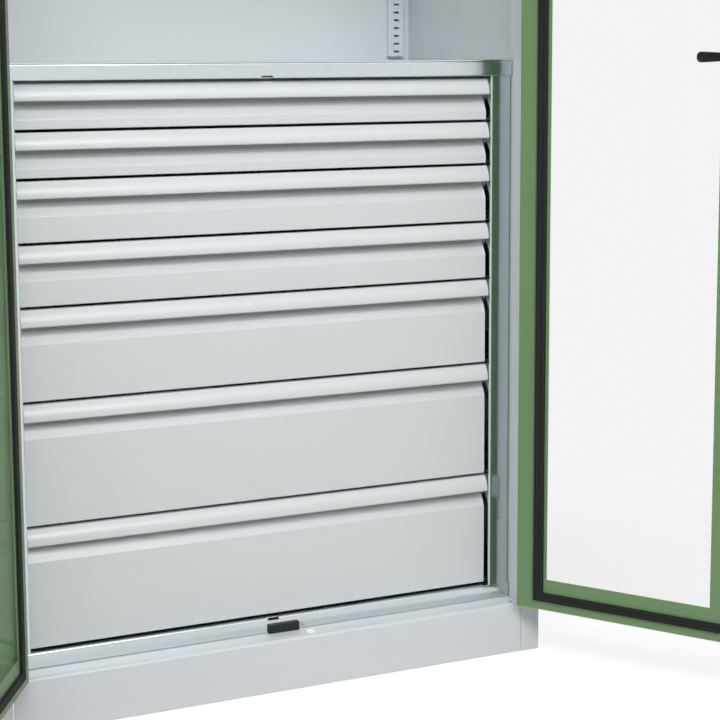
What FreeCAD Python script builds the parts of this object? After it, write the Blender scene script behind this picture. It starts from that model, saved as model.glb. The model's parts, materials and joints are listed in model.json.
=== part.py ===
"""Tool cabinet with two window doors and a block of full-width drawers, in millimetres.

Origin: on the floor, on the centre line, under the middle of the plinth's floor flange.
+X is to the right as seen from the front, +Y into the cabinet, +Z up.
The pieces are written with both doors swung open and all drawers shut.
Paired pieces are drawn for the right-hand side and mirrored to the left.
"""
import FreeCAD
import Part
import math
import os

from FreeCAD import Vector

# ---- driving dimensions: shell -------------------------------------------------------
cabinet_width = 1000.0
cabinet_depth = 500.0
cabinet_height = 1950.0
shell_sheet = 1.2
plinth_height = 90.0
floor_flange = 30.0        # flange that the plinth stands on
header_height = 40.0       # fascia above the doors
post_width = 38.0          # corner post, seen from the front
post_return = 52.0         # depth of the post's inner cheek
post_lip = 14.0            # lip at the back of that cheek
rebate_depth = 42.0        # front plane to the face that the doors close against
header_drop = 26.0         # stop strip that hangs behind the top of the doors
plinth_bend = 4.5          # inside radius of the soft fold between ledge and plinth
fold = 1.2                 # inside radius of an ordinary fold
seam = 0.5                 # gap at a butted seam between two sheets
plinth_seam = 0.9          # open joint between the plinth and the corner posts

# ---- driving dimensions: drawer block -------------------------------------------------
block_sheet = 1.2
flat_pitch = 75.0          # height of the first two drawers, from the top
low_pitch = 100.0          # third and fourth
middle_pitch = 150.0       # fifth
tall_pitch = 200.0         # sixth and seventh
post_gap = 2.0             # block's front frame to the corner posts' cheeks
frame_flange = 40.9        # front flange of the block's side, wall to outer edge
frame_face = 28.4          # its front part, before the small step back
frame_step = 3.0
bottom_bar_height = 26.0
top_bar_height = 25.0
bar_lip = 14.0             # lip of a crossbar on the side of the drawers
bar_foot = 20.0            # flange of a crossbar on the side away from the drawers
bar_notch = 20.0
bar_notch_depth = 5.0
bar_notch_drop = 3.0       # how far the notch runs down the bar's face, past the lip
cover_sheet = 2.5
cover_notch = 4.0
block_back_gap = 14.0      # free space between the block's back and the cabinet's back
bottom_drawer_gap = 3.0

# ---- driving dimensions: drawers ------------------------------------------------------
face_setback = 14.0        # front frame's face to the flat of a drawer front
front_sheet = 1.2
front_side_gap = 2.0       # end of a drawer front to the block's side wall
handle_overhang = 1.0      # the handle is this much longer than the flat, at each end
drawer_gap = 4.5           # gap seen above a handle
handle_height = 27.0
handle_top_reach = 2.9     # how far the handle's top edge stands in front of the flat
handle_lip_reach = 10.4
handle_lip_return = 6.0
lip_round = 2.4            # outside radius of the handle's rolled edges
grip_depth = 15.5          # finger recess, behind the flat
recess_start = 31.0        # pitch line down to the start of the sloping recess
fold_line = 60.0           # pitch line down to the fold where the flat starts
tray_sheet = 1.0
tray_floor_gap = 6.0       # drawer's lower pitch line to the underside of its tray
tray_head_gap = 14.0       # tray's rim to the drawer's upper pitch line
tray_length = 398.0
drawer_travel = 390.0

# ---- driving dimensions: runners ------------------------------------------------------
runner_width = 19.0        # tray side to the block's side wall
runner_sheet = 1.5
runner_half_height = 22.0
runner_slide_gap = 0.4     # between nested members
runner_length = 400.0
runner_height_in_drawer = 32.0
runner_front_gap = 2.0     # behind the drawer front's deepest point
cabinet_flange = 8.0       # reach of the fixed member's flanges
middle_web = 10.0          # side wall to the middle member's web

# ---- driving dimensions: upper compartment ----------------------------------------------
upright_width = 33.0
upright_depth = 10.0
upright_sheet = 1.2
upright_inset = 15.0       # side skin to the outer edge of a back upright
upright_end_gap = 6.0
slot_pitch = 15.0
slot_width = 10.6
slot_height = 3.6
shelf_thickness = 28.0
shelf_sheet = 1.0
shelf_gap = 2.0            # round a shelf
shelf_flange = 12.0        # inward flange under a shelf's long edges
lower_shelf_share = 0.56   # share of the compartment's height under each shelf
upper_shelf_share = 0.80
clip_width = 10.0
clip_reach = 14.0
clip_height = 8.0
clip_sheet = 2.0

# ---- driving dimensions: doors ----------------------------------------------------------
door_open_angle = 120.0
leaf_thickness = 36.0
leaf_gap = 3.0             # above and below a leaf
leaf_meeting_gap = 3.0     # between the two leaves
leaf_sheet = 1.2
hinge_stile_box = 40.0     # width of the hollow stile at the hinges
lock_stile_box = 75.0      # width of the hollow stile at the lock
rail_box = 42.0            # height of the hollow rails
stile_return = 30.0        # folded return on the inner face, at the stiles
rail_return = 16.0         # the same at the rails
hinge_stile_reach = 58.0   # leaf edge to the pane opening, hinge side
lock_stile_reach = 93.0    # the same, lock side
rail_reach = 55.0          # the same, top and bottom
seal_width = 15.0
seal_rail_width = 13.0
seal_gap = 7.0             # stile return to the seal
seal_clearance = 0.3       # shut seal to the frame that it closes on
seal_round = 1.8
pane_thickness = 4.0
pane_play = 1.0            # between a pane's edge and the hollow stiles

# ---- driving dimensions: hinges -----------------------------------------------------------
pin_inset = 4.0            # front plane back to the hinge pin's axis
pin_outset = 3.0           # post's inner edge out to the hinge pin's axis
pin_to_leaf = 8.5          # hinge pin's axis to the leaf's edge
pin_radius = 2.5
pin_clearance = 0.05
knuckle_radius = 4.0
knuckle_length = 40.0
knuckle_gap = 0.4
hinge_plate = 2.0
hinge_plate_depth = 26.0
hinge_end_inset = 170.0    # leaf's end to the middle of the nearest hinge
middle_hinge_share = 0.62  # height of the middle hinge between the two outer ones
hinge_notch_gap = 1.5

# ---- driving dimensions: lock ---------------------------------------------------------------
rod_offset = 56.5          # leaf's lock edge to the rods
rod_radius = 5.0
rod_travel = 15.0
rod_hole_gap = 0.5
lock_height = 1050.0
handle_length = 105.0
handle_width = 18.0
handle_thickness = 9.0
handle_tip_round = 6.0
handle_standoff = 14.0
hub_radius = 13.0
spindle_radius = 4.0
spindle_clearance = 0.05
rose_width = 34.0
rose_height = 130.0
rose_thickness = 3.0
rose_corner = 6.0
rose_rise = 43.0           # spindle up to the rose's top edge
cylinder_radius = 6.0
cylinder_drop = 42.0       # spindle down to the key cylinder
cylinder_proud = 3.0
cylinder_length = 16.0
keyway_width = 1.4
keyway_depth = 2.0
keyway_half_length = 3.6
case_depth = 24.0
case_height = 60.0
case_sheet = 1.5
pinion_radius = 9.55
rack_width = 5.0
rack_thickness = 4.0
rack_gap = 0.4
guide_size = 22.0
bush_flange_radius = 8.5
bush_flange = 1.5
bush_radius = 7.0
bush_length = 12.0
rod_rest_inset = 3.0       # leaf's end to the tip of a drawn-in rod
catch_left = -10.0
catch_width = 56.0
catch_height = 15.0
catch_clearance = 0.3
catch_round = 1.2
ledge_hole_radius = 3.5
ledge_hole_inset = 12.0    # front plane back to the small hole near each post
ledge_hole_side = 14.0     # post's inner edge to that hole
rest_gap = 0.3             # between pieces that move past each other

# ---- derived places -----------------------------------------------------------------------
front_y = -floor_flange / 2
back_y = front_y + cabinet_depth
half_width = cabinet_width / 2
post_x = half_width - post_width
frame_y = front_y + rebate_depth
face_y = frame_y + face_setback
inner_back_y = back_y - shell_sheet
skin_x = half_width - shell_sheet
lid_z = cabinet_height - shell_sheet
soffit_z = cabinet_height - header_height

drawer_pitches = [
    flat_pitch, flat_pitch, low_pitch, low_pitch, middle_pitch, tall_pitch, tall_pitch
]
wall_x = post_x - post_gap - frame_flange
block_rear_y = inner_back_y - block_back_gap - block_sheet
bottom_bar_top = plinth_height + bottom_bar_height
drawers_bottom = bottom_bar_top + bottom_drawer_gap
drawers_top = drawers_bottom + sum(drawer_pitches)
block_top = drawers_top + top_bar_height
cover_top = block_top + cover_sheet

front_x = wall_x - front_side_gap
tray_x = wall_x - runner_width
tray_y = face_y + grip_depth + front_sheet
runner_y = tray_y + runner_front_gap

pivot_x = post_x + pin_outset
pivot_y = front_y + pin_inset
leaf_outer_x = pivot_x - pin_to_leaf
leaf_inner_x = leaf_meeting_gap / 2
leaf_bottom = plinth_height + leaf_gap
leaf_top = soffit_z - leaf_gap
leaf_back_y = front_y + leaf_thickness
rod_x = leaf_inner_x + rod_offset
rod_y = front_y + leaf_thickness / 2
lowest_hinge = leaf_bottom + hinge_end_inset
highest_hinge = leaf_top - hinge_end_inset
middle_hinge = lowest_hinge + middle_hinge_share * (highest_hinge - lowest_hinge)
hinge_heights = [lowest_hinge, middle_hinge, highest_hinge]

EPS = 0.001
OVER = 1.0                 # how far a cutting tool runs past what it cuts
UP = Vector(0, 0, 1)


# ---- shapes ---------------------------------------------------------------------------------
def box(x0, x1, y0, y1, z0, z1):
    """Block between two corners."""
    return Part.makeBox(x1 - x0, y1 - y0, z1 - z0, Vector(x0, y0, z0))


def rod(radius, start, end):
    """Round bar between two points."""
    span = end - start
    return Part.makeCylinder(radius, span.Length, start, span)


def joined(shapes):
    """One solid from touching or overlapping shapes."""
    whole = shapes[0].fuse(shapes[1:]) if len(shapes) > 1 else shapes[0]
    return whole.removeSplitter()


def mirrored(shape):
    """The same piece on the other side of the centre line."""
    return shape.mirror(Vector(0, 0, 0), Vector(1, 0, 0))


def turned(points, at):
    """Turn, in radians, that a path makes at one of its inner points (left is positive)."""
    (x0, y0), (x1, y1), (x2, y2) = points[at - 1:at + 2]
    first = math.atan2(y1 - y0, x1 - x0)
    second = math.atan2(y2 - y1, x2 - x1)
    return (second - first + math.pi) % (2 * math.pi) - math.pi


def shifted(points, distance):
    """A path moved to its own left, with mitred corners."""
    lines = []
    for (x0, y0), (x1, y1) in zip(points, points[1:]):
        length = math.hypot(x1 - x0, y1 - y0)
        nx = -(y1 - y0) / length
        ny = (x1 - x0) / length
        lines.append((nx, ny, nx * x0 + ny * y0 + distance))
    first = lines[0]
    last = lines[-1]
    moved = [(points[0][0] + first[0] * distance, points[0][1] + first[1] * distance)]
    for (a, b, c), (d, e, f) in zip(lines, lines[1:]):
        cross = a * e - b * d
        moved.append(((c * e - b * f) / cross, (a * f - c * d) / cross))
    moved.append((points[-1][0] + last[0] * distance, points[-1][1] + last[1] * distance))
    return moved


def path_edges(points, radii, lift):
    """Edges of a path with rounded corners; lift places a flat point in space."""
    edges = []
    start = points[0]
    for at in range(1, len(points) - 1):
        corner = points[at]
        turn = turned(points, at)
        reach = radii[at - 1] * math.tan(abs(turn) / 2)
        before = toward(corner, points[at - 1], reach)
        after = toward(corner, points[at + 1], reach)
        middle = ((before[0] + after[0]) / 2, (before[1] + after[1]) / 2)
        sag = radii[at - 1] * (1 / math.cos(turn / 2) - 1)
        crown = toward(corner, middle, sag)
        if math.dist(start, before) > EPS:
            edges.append(Part.LineSegment(lift(*start), lift(*before)).toShape())
        edges.append(Part.Arc(lift(*before), lift(*crown), lift(*after)).toShape())
        start = after
    edges.append(Part.LineSegment(lift(*start), lift(*points[-1])).toShape())
    return edges


def toward(start, end, distance):
    """The point that lies a distance along the way from start to end."""
    share = distance / math.dist(start, end)
    return (start[0] + (end[0] - start[0]) * share, start[1] + (end[1] - start[1]) * share)


def folded_sheet(points, sheet, radii, lift, sweep):
    """Folded sheet: its outer line, the sheet to the left of it, and inside fold radii."""
    outer = []
    inner = []
    for at in range(1, len(points) - 1):
        left_turn = turned(points, at) > 0
        radius = radii[at - 1]
        outer.append(radius + sheet if left_turn else radius)
        inner.append(radius if left_turn else radius + sheet)
    moved = shifted(points, sheet)
    edges = path_edges(points, outer, lift)
    edges.append(Part.LineSegment(lift(*points[-1]), lift(*moved[-1])).toShape())
    edges += path_edges(moved, inner, lift)
    edges.append(Part.LineSegment(lift(*points[0]), lift(*moved[0])).toShape())
    wire = Part.Wire(Part.__sortEdges__(edges))
    return Part.Face(wire).extrude(sweep)


def upright_fold(points, sheet, radii, z0, z1):
    """Folded sheet with its section seen from above, between two heights."""
    return folded_sheet(points, sheet, radii, lambda x, y: Vector(x, y, z0), UP * (z1 - z0))


def level_fold(points, sheet, radii, x0, x1):
    """Folded sheet with its section in the Y-Z plane, between two X places."""
    return folded_sheet(points, sheet, radii, lambda y, z: Vector(x0, y, z), Vector(x1 - x0, 0, 0))


def frame_ring(x0, x1, z0, z1, left, right, rail, y0, y1):
    """Flat rectangular ring: outer size, then how far its opening is inset on each side."""
    outer = box(x0, x1, y0, y1, z0, z1)
    hole = box(x0 + left, x1 - right, y0 - OVER, y1 + OVER, z0 + rail, z1 - rail)
    return outer.cut(hole)


# ---- shell ----------------------------------------------------------------------------------
def hinge_notches():
    """Room for the three hinges in the right-hand corner post."""
    reach = math.hypot(pin_to_leaf - hinge_plate, pin_inset) + hinge_notch_gap
    half = knuckle_length + knuckle_gap / 2 + hinge_notch_gap
    return [
        box(post_x - OVER, pivot_x + reach, front_y - OVER, pivot_y + reach, z - half, z + half)
        for z in hinge_heights
    ]


def side_panel():
    """Right side: outer skin, corner post and the post's cheek, one folded sheet."""
    outline = [
        (post_x + post_lip, front_y + post_return),
        (post_x, front_y + post_return),
        (post_x, front_y),
        (half_width, front_y),
        (half_width, back_y),
    ]
    panel = upright_fold(outline, shell_sheet, [fold, fold, 2 * fold], 0, lid_z)
    return panel.cut(hinge_notches()).removeSplitter()


def back_panel():
    """Flat back sheet between the side skins."""
    return box(-skin_x, skin_x, inner_back_y, back_y, 0, lid_z)


def top_panel():
    """Lid with the fascia above the doors, its soffit and the strip they stop against."""
    lid = box(-half_width, half_width, front_y, back_y, lid_z, cabinet_height)
    outline = [
        (frame_y + bar_lip, soffit_z - header_drop),
        (frame_y, soffit_z - header_drop),
        (frame_y, soffit_z),
        (front_y, soffit_z),
        (front_y, cabinet_height),
    ]
    reach = post_x - seam
    fascia = level_fold(outline[::-1], shell_sheet, [fold, fold, fold], -reach, reach)
    hole = rod(
        bush_radius + rod_hole_gap,
        Vector(rod_x, rod_y, soffit_z - OVER),
        Vector(rod_x, rod_y, soffit_z + shell_sheet + OVER),
    )
    return joined([lid, fascia]).cut(hole)


def base_pan():
    """Cabinet floor, ledge under the doors, plinth face and floor flange."""
    outline = [
        (inner_back_y, plinth_height),
        (front_y, plinth_height),
        (front_y, 0),
        (front_y + floor_flange, 0),
    ]
    reach = post_x - plinth_seam
    pan = level_fold(outline, shell_sheet, [plinth_bend, fold], -reach, reach)
    wings_y = front_y + post_return + seam
    floor_z = plinth_height - shell_sheet
    floor = box(-skin_x, skin_x, wings_y, inner_back_y, floor_z, plinth_height)
    holes = [
        rod(
            bush_radius + rod_hole_gap,
            Vector(rod_x, rod_y, floor_z - OVER),
            Vector(rod_x, rod_y, plinth_height + OVER),
        )
    ]
    for side in (-1, 1):
        x = side * (post_x - ledge_hole_side)
        y = front_y + ledge_hole_inset
        holes.append(
            rod(ledge_hole_radius, Vector(x, y, floor_z - OVER), Vector(x, y, plinth_height + OVER))
        )
    return joined([pan, floor]).cut(holes)


def rod_bushes():
    """Plastic bushes in ledge and soffit that the lock rods shoot into."""
    bushes = []
    for face_z, way in ((plinth_height, 1), (soffit_z, -1)):
        foot = Vector(rod_x, rod_y, face_z)
        up = Vector(0, 0, way)
        flange = rod(bush_flange_radius, foot, foot + up * bush_flange)
        sleeve = rod(bush_radius, foot + up * bush_flange, foot - up * bush_length)
        bore = rod(rod_radius + rod_hole_gap, foot + up * bush_flange * 2, foot - up * bush_length * 2)
        bushes.append(joined([flange, sleeve]).cut(bore))
    return bushes


def door_catch():
    """Black catch block on the ledge, against the bottom crossbar."""
    block = box(
        catch_left,
        catch_left + catch_width,
        leaf_back_y + catch_clearance,
        frame_y,
        plinth_height,
        plinth_height + catch_height,
    )
    upright_edges = [e for e in block.Edges if is_front_upright(e)]
    return block.makeFillet(catch_round, upright_edges)


def is_front_upright(edge):
    """True for a vertical edge on the side towards the doors."""
    box_of = edge.BoundBox
    return box_of.ZLength > EPS and box_of.XLength < EPS and box_of.YMax < frame_y - EPS


# ---- drawer block ---------------------------------------------------------------------------
def crossbar(z0, z1, lip_on_top):
    """Channel across the block's front; its short lip is on the side of the drawers."""
    top_reach = bar_lip if lip_on_top else bar_foot
    bottom_reach = bar_foot if lip_on_top else bar_lip
    outline = [
        (frame_y + top_reach, z1),
        (frame_y, z1),
        (frame_y, z0),
        (frame_y + bottom_reach, z0),
    ]
    reach = post_x - post_gap
    bar = level_fold(outline, block_sheet, [fold, fold], -reach, reach)
    cut = block_sheet + bar_notch_drop
    edge_z = z1 - cut if lip_on_top else z0 - OVER
    notch = box(
        -bar_notch / 2,
        bar_notch / 2,
        frame_y - OVER,
        frame_y + bar_notch_depth,
        edge_z,
        edge_z + cut + OVER,
    )
    return bar.cut(notch)


def block_side():
    """Right side of the drawer block: wall, mirror-bright front flange and outer strip."""
    outer_x = wall_x + frame_flange
    outline = [
        (wall_x, block_rear_y),
        (wall_x, frame_y),
        (wall_x + frame_face, frame_y),
        (wall_x + frame_face, frame_y + frame_step),
        (outer_x, frame_y + frame_step),
        (outer_x, frame_y + bar_foot),
    ]
    radii = [fold, fold / 4, fold / 4, fold]
    side = upright_fold(outline, block_sheet, radii, bottom_bar_top, drawers_top)
    wall = box(
        wall_x,
        wall_x + block_sheet,
        frame_y + bar_foot + seam,
        block_rear_y,
        plinth_height,
        block_top,
    )
    return joined([side, wall])


def block_back():
    """Sheet across the rear of the block."""
    reach = wall_x + block_sheet
    return box(-reach, reach, block_rear_y, block_rear_y + block_sheet, plinth_height, block_top)


def block_cover():
    """Plate over the drawers; it is the floor of the upper compartment."""
    front = box(
        -(post_x - post_gap), post_x - post_gap, frame_y, front_y + post_return + seam, block_top, cover_top
    )
    rest = box(
        -(skin_x - seam), skin_x - seam, front_y + post_return + seam, inner_back_y, block_top, cover_top
    )
    notch = box(
        -bar_notch / 2, bar_notch / 2, inner_back_y - cover_notch, inner_back_y + OVER,
        block_top - OVER, cover_top + OVER,
    )
    return joined([front, rest]).cut(notch)


# ---- runners --------------------------------------------------------------------------------
def channel(web_x, flange_x, half_height, z, y0, y1):
    """Runner member with a C section: web at one X, flanges reaching to another."""
    reach = 1 if flange_x > web_x else -1
    lo = min(web_x, flange_x)
    hi = max(web_x, flange_x)
    web = box(
        min(web_x, web_x + reach * runner_sheet),
        max(web_x, web_x + reach * runner_sheet),
        y0, y1, z - half_height, z + half_height,
    )
    top = box(lo, hi, y0, y1, z + half_height - runner_sheet, z + half_height)
    bottom = box(lo, hi, y0, y1, z - half_height, z - half_height + runner_sheet)
    return joined([web, top, bottom])


middle_half_height = runner_half_height - runner_sheet - runner_slide_gap
inner_half_height = middle_half_height - runner_sheet - runner_slide_gap


def fixed_member(z):
    """Right-hand runner member on the block's side wall."""
    return channel(
        wall_x, wall_x - cabinet_flange, runner_half_height, z, runner_y, runner_y + runner_length
    )


def middle_member(z):
    """Right-hand middle runner member, an H section between the other two."""
    y1 = runner_y + runner_length
    web_x = wall_x - middle_web
    lo = tray_x + runner_sheet + runner_slide_gap
    hi = wall_x - runner_sheet - runner_slide_gap
    web = box(web_x, web_x + runner_sheet, runner_y, y1, z - middle_half_height, z + middle_half_height)
    top_z = z + middle_half_height - runner_sheet
    top = box(lo, hi, runner_y, y1, top_z, top_z + runner_sheet)
    bottom_z = z - middle_half_height
    bottom = box(lo, hi, runner_y, y1, bottom_z, bottom_z + runner_sheet)
    return joined([web, top, bottom])


def drawer_member(z):
    """Right-hand runner member riveted to the tray."""
    flange_x = wall_x - middle_web - runner_slide_gap
    y1 = tray_y + tray_length
    return channel(tray_x, flange_x, inner_half_height, z, runner_y, y1)


# ---- drawers --------------------------------------------------------------------------------
def front_outline(top_z, pitch):
    """Line of a drawer front in the Y-Z plane, lip of the handle first.

    The line is the sheet's inner side round the handle and its front side below it.
    The handle's face is one arc whose tangent is upright at the lip.
    """
    crown_z = top_z - drawer_gap - front_sheet
    lip_z = top_z - drawer_gap - handle_height + front_sheet
    lip_y = face_y - handle_lip_reach + front_sheet
    arc_height = handle_height - 2 * lip_round
    arc_reach = handle_lip_reach - handle_top_reach
    arc_radius = (arc_height ** 2 + arc_reach ** 2) / (2 * arc_reach)
    arc_turn = math.asin(arc_height / arc_radius)
    tangent = (arc_radius - front_sheet) * math.tan(arc_turn / 2)
    knee_z = lip_z - front_sheet + lip_round + tangent
    lean = math.tan(arc_turn)
    points = [
        (lip_y + handle_lip_return, lip_z),
        (lip_y, lip_z),
        (lip_y, knee_z),
        (lip_y + (crown_z - knee_z) * lean, crown_z),
        (face_y + grip_depth, crown_z),
        (face_y + grip_depth, top_z - recess_start),
        (face_y, top_z - fold_line),
        (face_y, top_z - pitch),
        (tray_y, top_z - pitch),
    ]
    radii = [
        lip_round - front_sheet,
        arc_radius - front_sheet,
        lip_round - front_sheet,
        fold,
        2 * fold,
        2 * fold,
        fold / 2,
    ]
    return points, radii


def drawer_front(top_z, pitch):
    """Folded front with its rolled handle; the flat is a little shorter than the handle."""
    points, radii = front_outline(top_z, pitch)
    reach = front_x + handle_overhang
    front = level_fold(points, front_sheet, radii, -reach, reach)
    trims = [
        box(
            min(side * front_x, side * (reach + OVER)),
            max(side * front_x, side * (reach + OVER)),
            face_y - handle_lip_reach - OVER,
            tray_y + OVER,
            top_z - pitch - OVER,
            top_z - drawer_gap - handle_height - lip_round,
        )
        for side in (-1, 1)
    ]
    return front.cut(trims)


def drawer_tray(top_z, pitch):
    """Open tray behind a front, spot-welded from five sheets: floor, two ends and two sides."""
    z0 = top_z - pitch + tray_floor_gap
    z1 = top_z - tray_head_gap
    wall_z = z0 + tray_sheet
    y1 = tray_y + tray_length
    floor = box(-tray_x, tray_x, tray_y, y1, z0, wall_z)
    front_end = box(-tray_x, tray_x, tray_y, tray_y + tray_sheet, wall_z, z1)
    rear_end = box(-tray_x, tray_x, y1 - tray_sheet, y1, wall_z, z1)
    side = box(tray_x - tray_sheet, tray_x, tray_y + tray_sheet, y1 - tray_sheet, wall_z, z1)
    return [floor, front_end, rear_end, side, mirrored(side)]


# ---- upper compartment ------------------------------------------------------------------------
upright_z0 = cover_top + upright_end_gap
upright_z1 = soffit_z - header_drop - upright_end_gap
slot_count = int((upright_z1 - upright_z0 - slot_pitch) // slot_pitch)
first_slot_z = upright_z0 + slot_pitch / 2


def back_upright():
    """Right-hand slotted upright on the back sheet, a shallow channel."""
    x1 = skin_x - upright_inset
    x0 = x1 - upright_width
    face = inner_back_y - upright_depth
    outline = [(x0, inner_back_y), (x0, face), (x1, face), (x1, inner_back_y)]
    channel_bar = upright_fold(outline, upright_sheet, [fold, fold], upright_z0, upright_z1)
    middle = (x0 + x1) / 2
    slots = [
        box(
            middle - slot_width / 2, middle + slot_width / 2, face - OVER, face + upright_sheet + OVER,
            slot_z(n), slot_z(n) + slot_height,
        )
        for n in range(slot_count)
    ]
    return channel_bar.cut(slots)


def side_upright():
    """Right-hand slotted upright on the side skin, just behind the corner post."""
    y0 = front_y + post_return + upright_end_gap
    y1 = y0 + upright_width
    face = skin_x - upright_depth
    outline = [(skin_x, y1), (face, y1), (face, y0), (skin_x, y0)]
    channel_bar = upright_fold(outline, upright_sheet, [fold, fold], upright_z0, upright_z1)
    middle = (y0 + y1) / 2
    slots = [
        box(
            face - OVER, face + upright_sheet + OVER, middle - slot_width / 2, middle + slot_width / 2,
            slot_z(n), slot_z(n) + slot_height,
        )
        for n in range(slot_count)
    ]
    return channel_bar.cut(slots)


def slot_z(number):
    """Lower edge of a slot, counted from the bottom."""
    return first_slot_z + number * slot_pitch


def shelf_slot(share):
    """Number of the slot nearest to a share of the compartment's height."""
    return round(share * slot_count)


def shelf_floor(share):
    """Underside of a shelf that rests on clips in that slot."""
    return slot_z(shelf_slot(share)) + slot_height / 2 + clip_sheet / 2


def shelf(share):
    """Shelf with folded-down edges."""
    z0 = shelf_floor(share)
    z1 = z0 + shelf_thickness
    x = skin_x - upright_depth - shelf_gap
    y0 = front_y + post_return + shelf_gap
    y1 = inner_back_y - upright_depth - shelf_gap
    outer = box(-x, x, y0, y1, z0, z1)
    hollow = box(
        -x + shelf_sheet, x - shelf_sheet, y0 + shelf_sheet, y1 - shelf_sheet, z0 - OVER, z1 - shelf_sheet
    )
    front_flange = box(-x, x, y0, y0 + shelf_flange, z0, z0 + shelf_sheet)
    back_flange = box(-x, x, y1 - shelf_flange, y1, z0, z0 + shelf_sheet)
    return joined([outer.cut(hollow), front_flange, back_flange])


def shelf_clips():
    """Clips of both shelves: a tongue through a slot and a tab under the shelf."""
    clips = []
    for share in (lower_shelf_share, upper_shelf_share):
        z1 = shelf_floor(share)
        z0 = z1 - clip_sheet
        back_face = inner_back_y - upright_depth
        back_x = skin_x - upright_inset - upright_width / 2
        tab = box(
            back_x - clip_width / 2, back_x + clip_width / 2,
            back_face - clip_reach, back_face + upright_depth / 2, z0, z1,
        )
        stop = box(
            back_x - clip_width / 2, back_x + clip_width / 2,
            back_face - clip_sheet, back_face, z0 - clip_height, z1,
        )
        back_clip = joined([tab, stop])
        side_face = skin_x - upright_depth
        side_y = front_y + post_return + upright_end_gap + upright_width / 2
        tab = box(
            side_face - clip_reach, side_face + upright_depth / 2,
            side_y - clip_width / 2, side_y + clip_width / 2, z0, z1,
        )
        stop = box(
            side_face - clip_sheet, side_face,
            side_y - clip_width / 2, side_y + clip_width / 2, z0 - clip_height, z1,
        )
        side_clip = joined([tab, stop])
        clips += [back_clip, side_clip, mirrored(back_clip), mirrored(side_clip)]
    return clips


# ---- doors, drawn shut and then swung open ------------------------------------------------------
def swung_open(shape):
    """A right-door piece swung from shut to open about its hinge pins."""
    swung = shape.copy()
    swung.rotate(Vector(pivot_x, pivot_y, 0), UP, door_open_angle)
    return swung


def leaf_ring(lock_inset, hinge_inset, rail_inset, y0, y1):
    """Ring over the whole leaf with a given opening."""
    return frame_ring(
        leaf_inner_x, leaf_outer_x, leaf_bottom, leaf_top, lock_inset, hinge_inset, rail_inset, y0, y1
    )


def door_frame(with_lock):
    """Hollow leaf frame: front skin, edges, reveal round the window and inner return."""
    skin = leaf_ring(lock_stile_box, hinge_stile_box, rail_box, front_y, front_y + leaf_sheet)
    edges = leaf_ring(leaf_sheet, leaf_sheet, leaf_sheet, front_y, leaf_back_y)
    returns = leaf_ring(stile_return, stile_return, rail_return, leaf_back_y - leaf_sheet, leaf_back_y)
    reveal = frame_ring(
        leaf_inner_x + lock_stile_box - leaf_sheet,
        leaf_outer_x - hinge_stile_box + leaf_sheet,
        leaf_bottom + rail_box - leaf_sheet,
        leaf_top - rail_box + leaf_sheet,
        leaf_sheet, leaf_sheet, leaf_sheet,
        front_y, leaf_back_y - leaf_sheet,
    )
    frame = joined([skin, edges, returns, reveal])
    seams = []
    for x in (leaf_inner_x + stile_return, leaf_outer_x - stile_return):
        for z in (leaf_bottom, leaf_top - rail_return):
            seams.append(
                box(
                    x - seam / 2, x + seam / 2, leaf_back_y - leaf_sheet / 2, leaf_back_y + OVER,
                    z - OVER, z + rail_return + OVER,
                )
            )
    frame = frame.cut(seams)
    if with_lock:
        frame = frame.cut(lock_cuts())
    return frame


def lock_cuts():
    """Holes in the right leaf for the rods, the spindle and the key cylinder."""
    rod_hole = rod_radius + rod_hole_gap
    ends = ((leaf_bottom, 1), (leaf_top, -1))
    holes = []
    for z, way in ends:
        outside = Vector(rod_x, rod_y, z - way * OVER)
        holes.append(rod(rod_hole, outside, Vector(rod_x, rod_y, z + way * (leaf_sheet + OVER))))
    skin_holes = (
        (spindle_radius + rod_hole_gap, lock_height),
        (cylinder_radius + spindle_clearance, lock_height - cylinder_drop),
    )
    for radius, z in skin_holes:
        before = Vector(rod_x, front_y - OVER, z)
        holes.append(rod(radius, before, Vector(rod_x, front_y + leaf_sheet + OVER, z)))
    return holes


def door_liner():
    """Inner frame that carries the pane, set inside the leaf's folded return."""
    return frame_ring(
        leaf_inner_x + stile_return + seam,
        leaf_outer_x - stile_return - seam,
        leaf_bottom + rail_return + seam,
        leaf_top - rail_return - seam,
        lock_stile_reach - stile_return - seam,
        hinge_stile_reach - stile_return - seam,
        rail_reach - rail_return - seam,
        leaf_back_y - leaf_sheet,
        leaf_back_y,
    )


def door_pane():
    """Clear pane held against the liner."""
    return box(
        leaf_inner_x + lock_stile_box + pane_play,
        leaf_outer_x - hinge_stile_box - pane_play,
        leaf_back_y - leaf_sheet - pane_thickness,
        leaf_back_y - leaf_sheet,
        leaf_bottom + rail_box + pane_play,
        leaf_top - rail_box - pane_play,
    )


def door_seal():
    """Rubber seal round the leaf's inner face, rounded on its sealing side."""
    inset = stile_return + seal_gap
    y1 = frame_y - seal_clearance
    ring = frame_ring(
        leaf_inner_x + inset,
        leaf_outer_x - inset,
        leaf_bottom + rail_return + seam,
        leaf_top - rail_return - seam,
        seal_width, seal_width, seal_rail_width,
        leaf_back_y, y1,
    )
    crown = [e for e in ring.Edges if e.BoundBox.YMin > y1 - EPS]
    return ring.makeFillet(seal_round, crown)


def hinge_frame_leaf(z):
    """Lower half of a lift-off hinge: plate inside the hollow post, knuckle and pin."""
    z0 = z - knuckle_gap / 2 - knuckle_length
    z1 = z - knuckle_gap / 2
    axis_at = Vector(pivot_x, pivot_y, z0)
    knuckle = rod(knuckle_radius, axis_at, Vector(pivot_x, pivot_y, z1))
    pin = rod(pin_radius, axis_at, Vector(pivot_x, pivot_y, z1 + knuckle_gap + knuckle_length - OVER))
    plate_x = post_x + shell_sheet
    plate = box(plate_x, plate_x + hinge_plate, pivot_y, pivot_y + hinge_plate_depth, z0, z1)
    return joined([knuckle, pin, plate])


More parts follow.
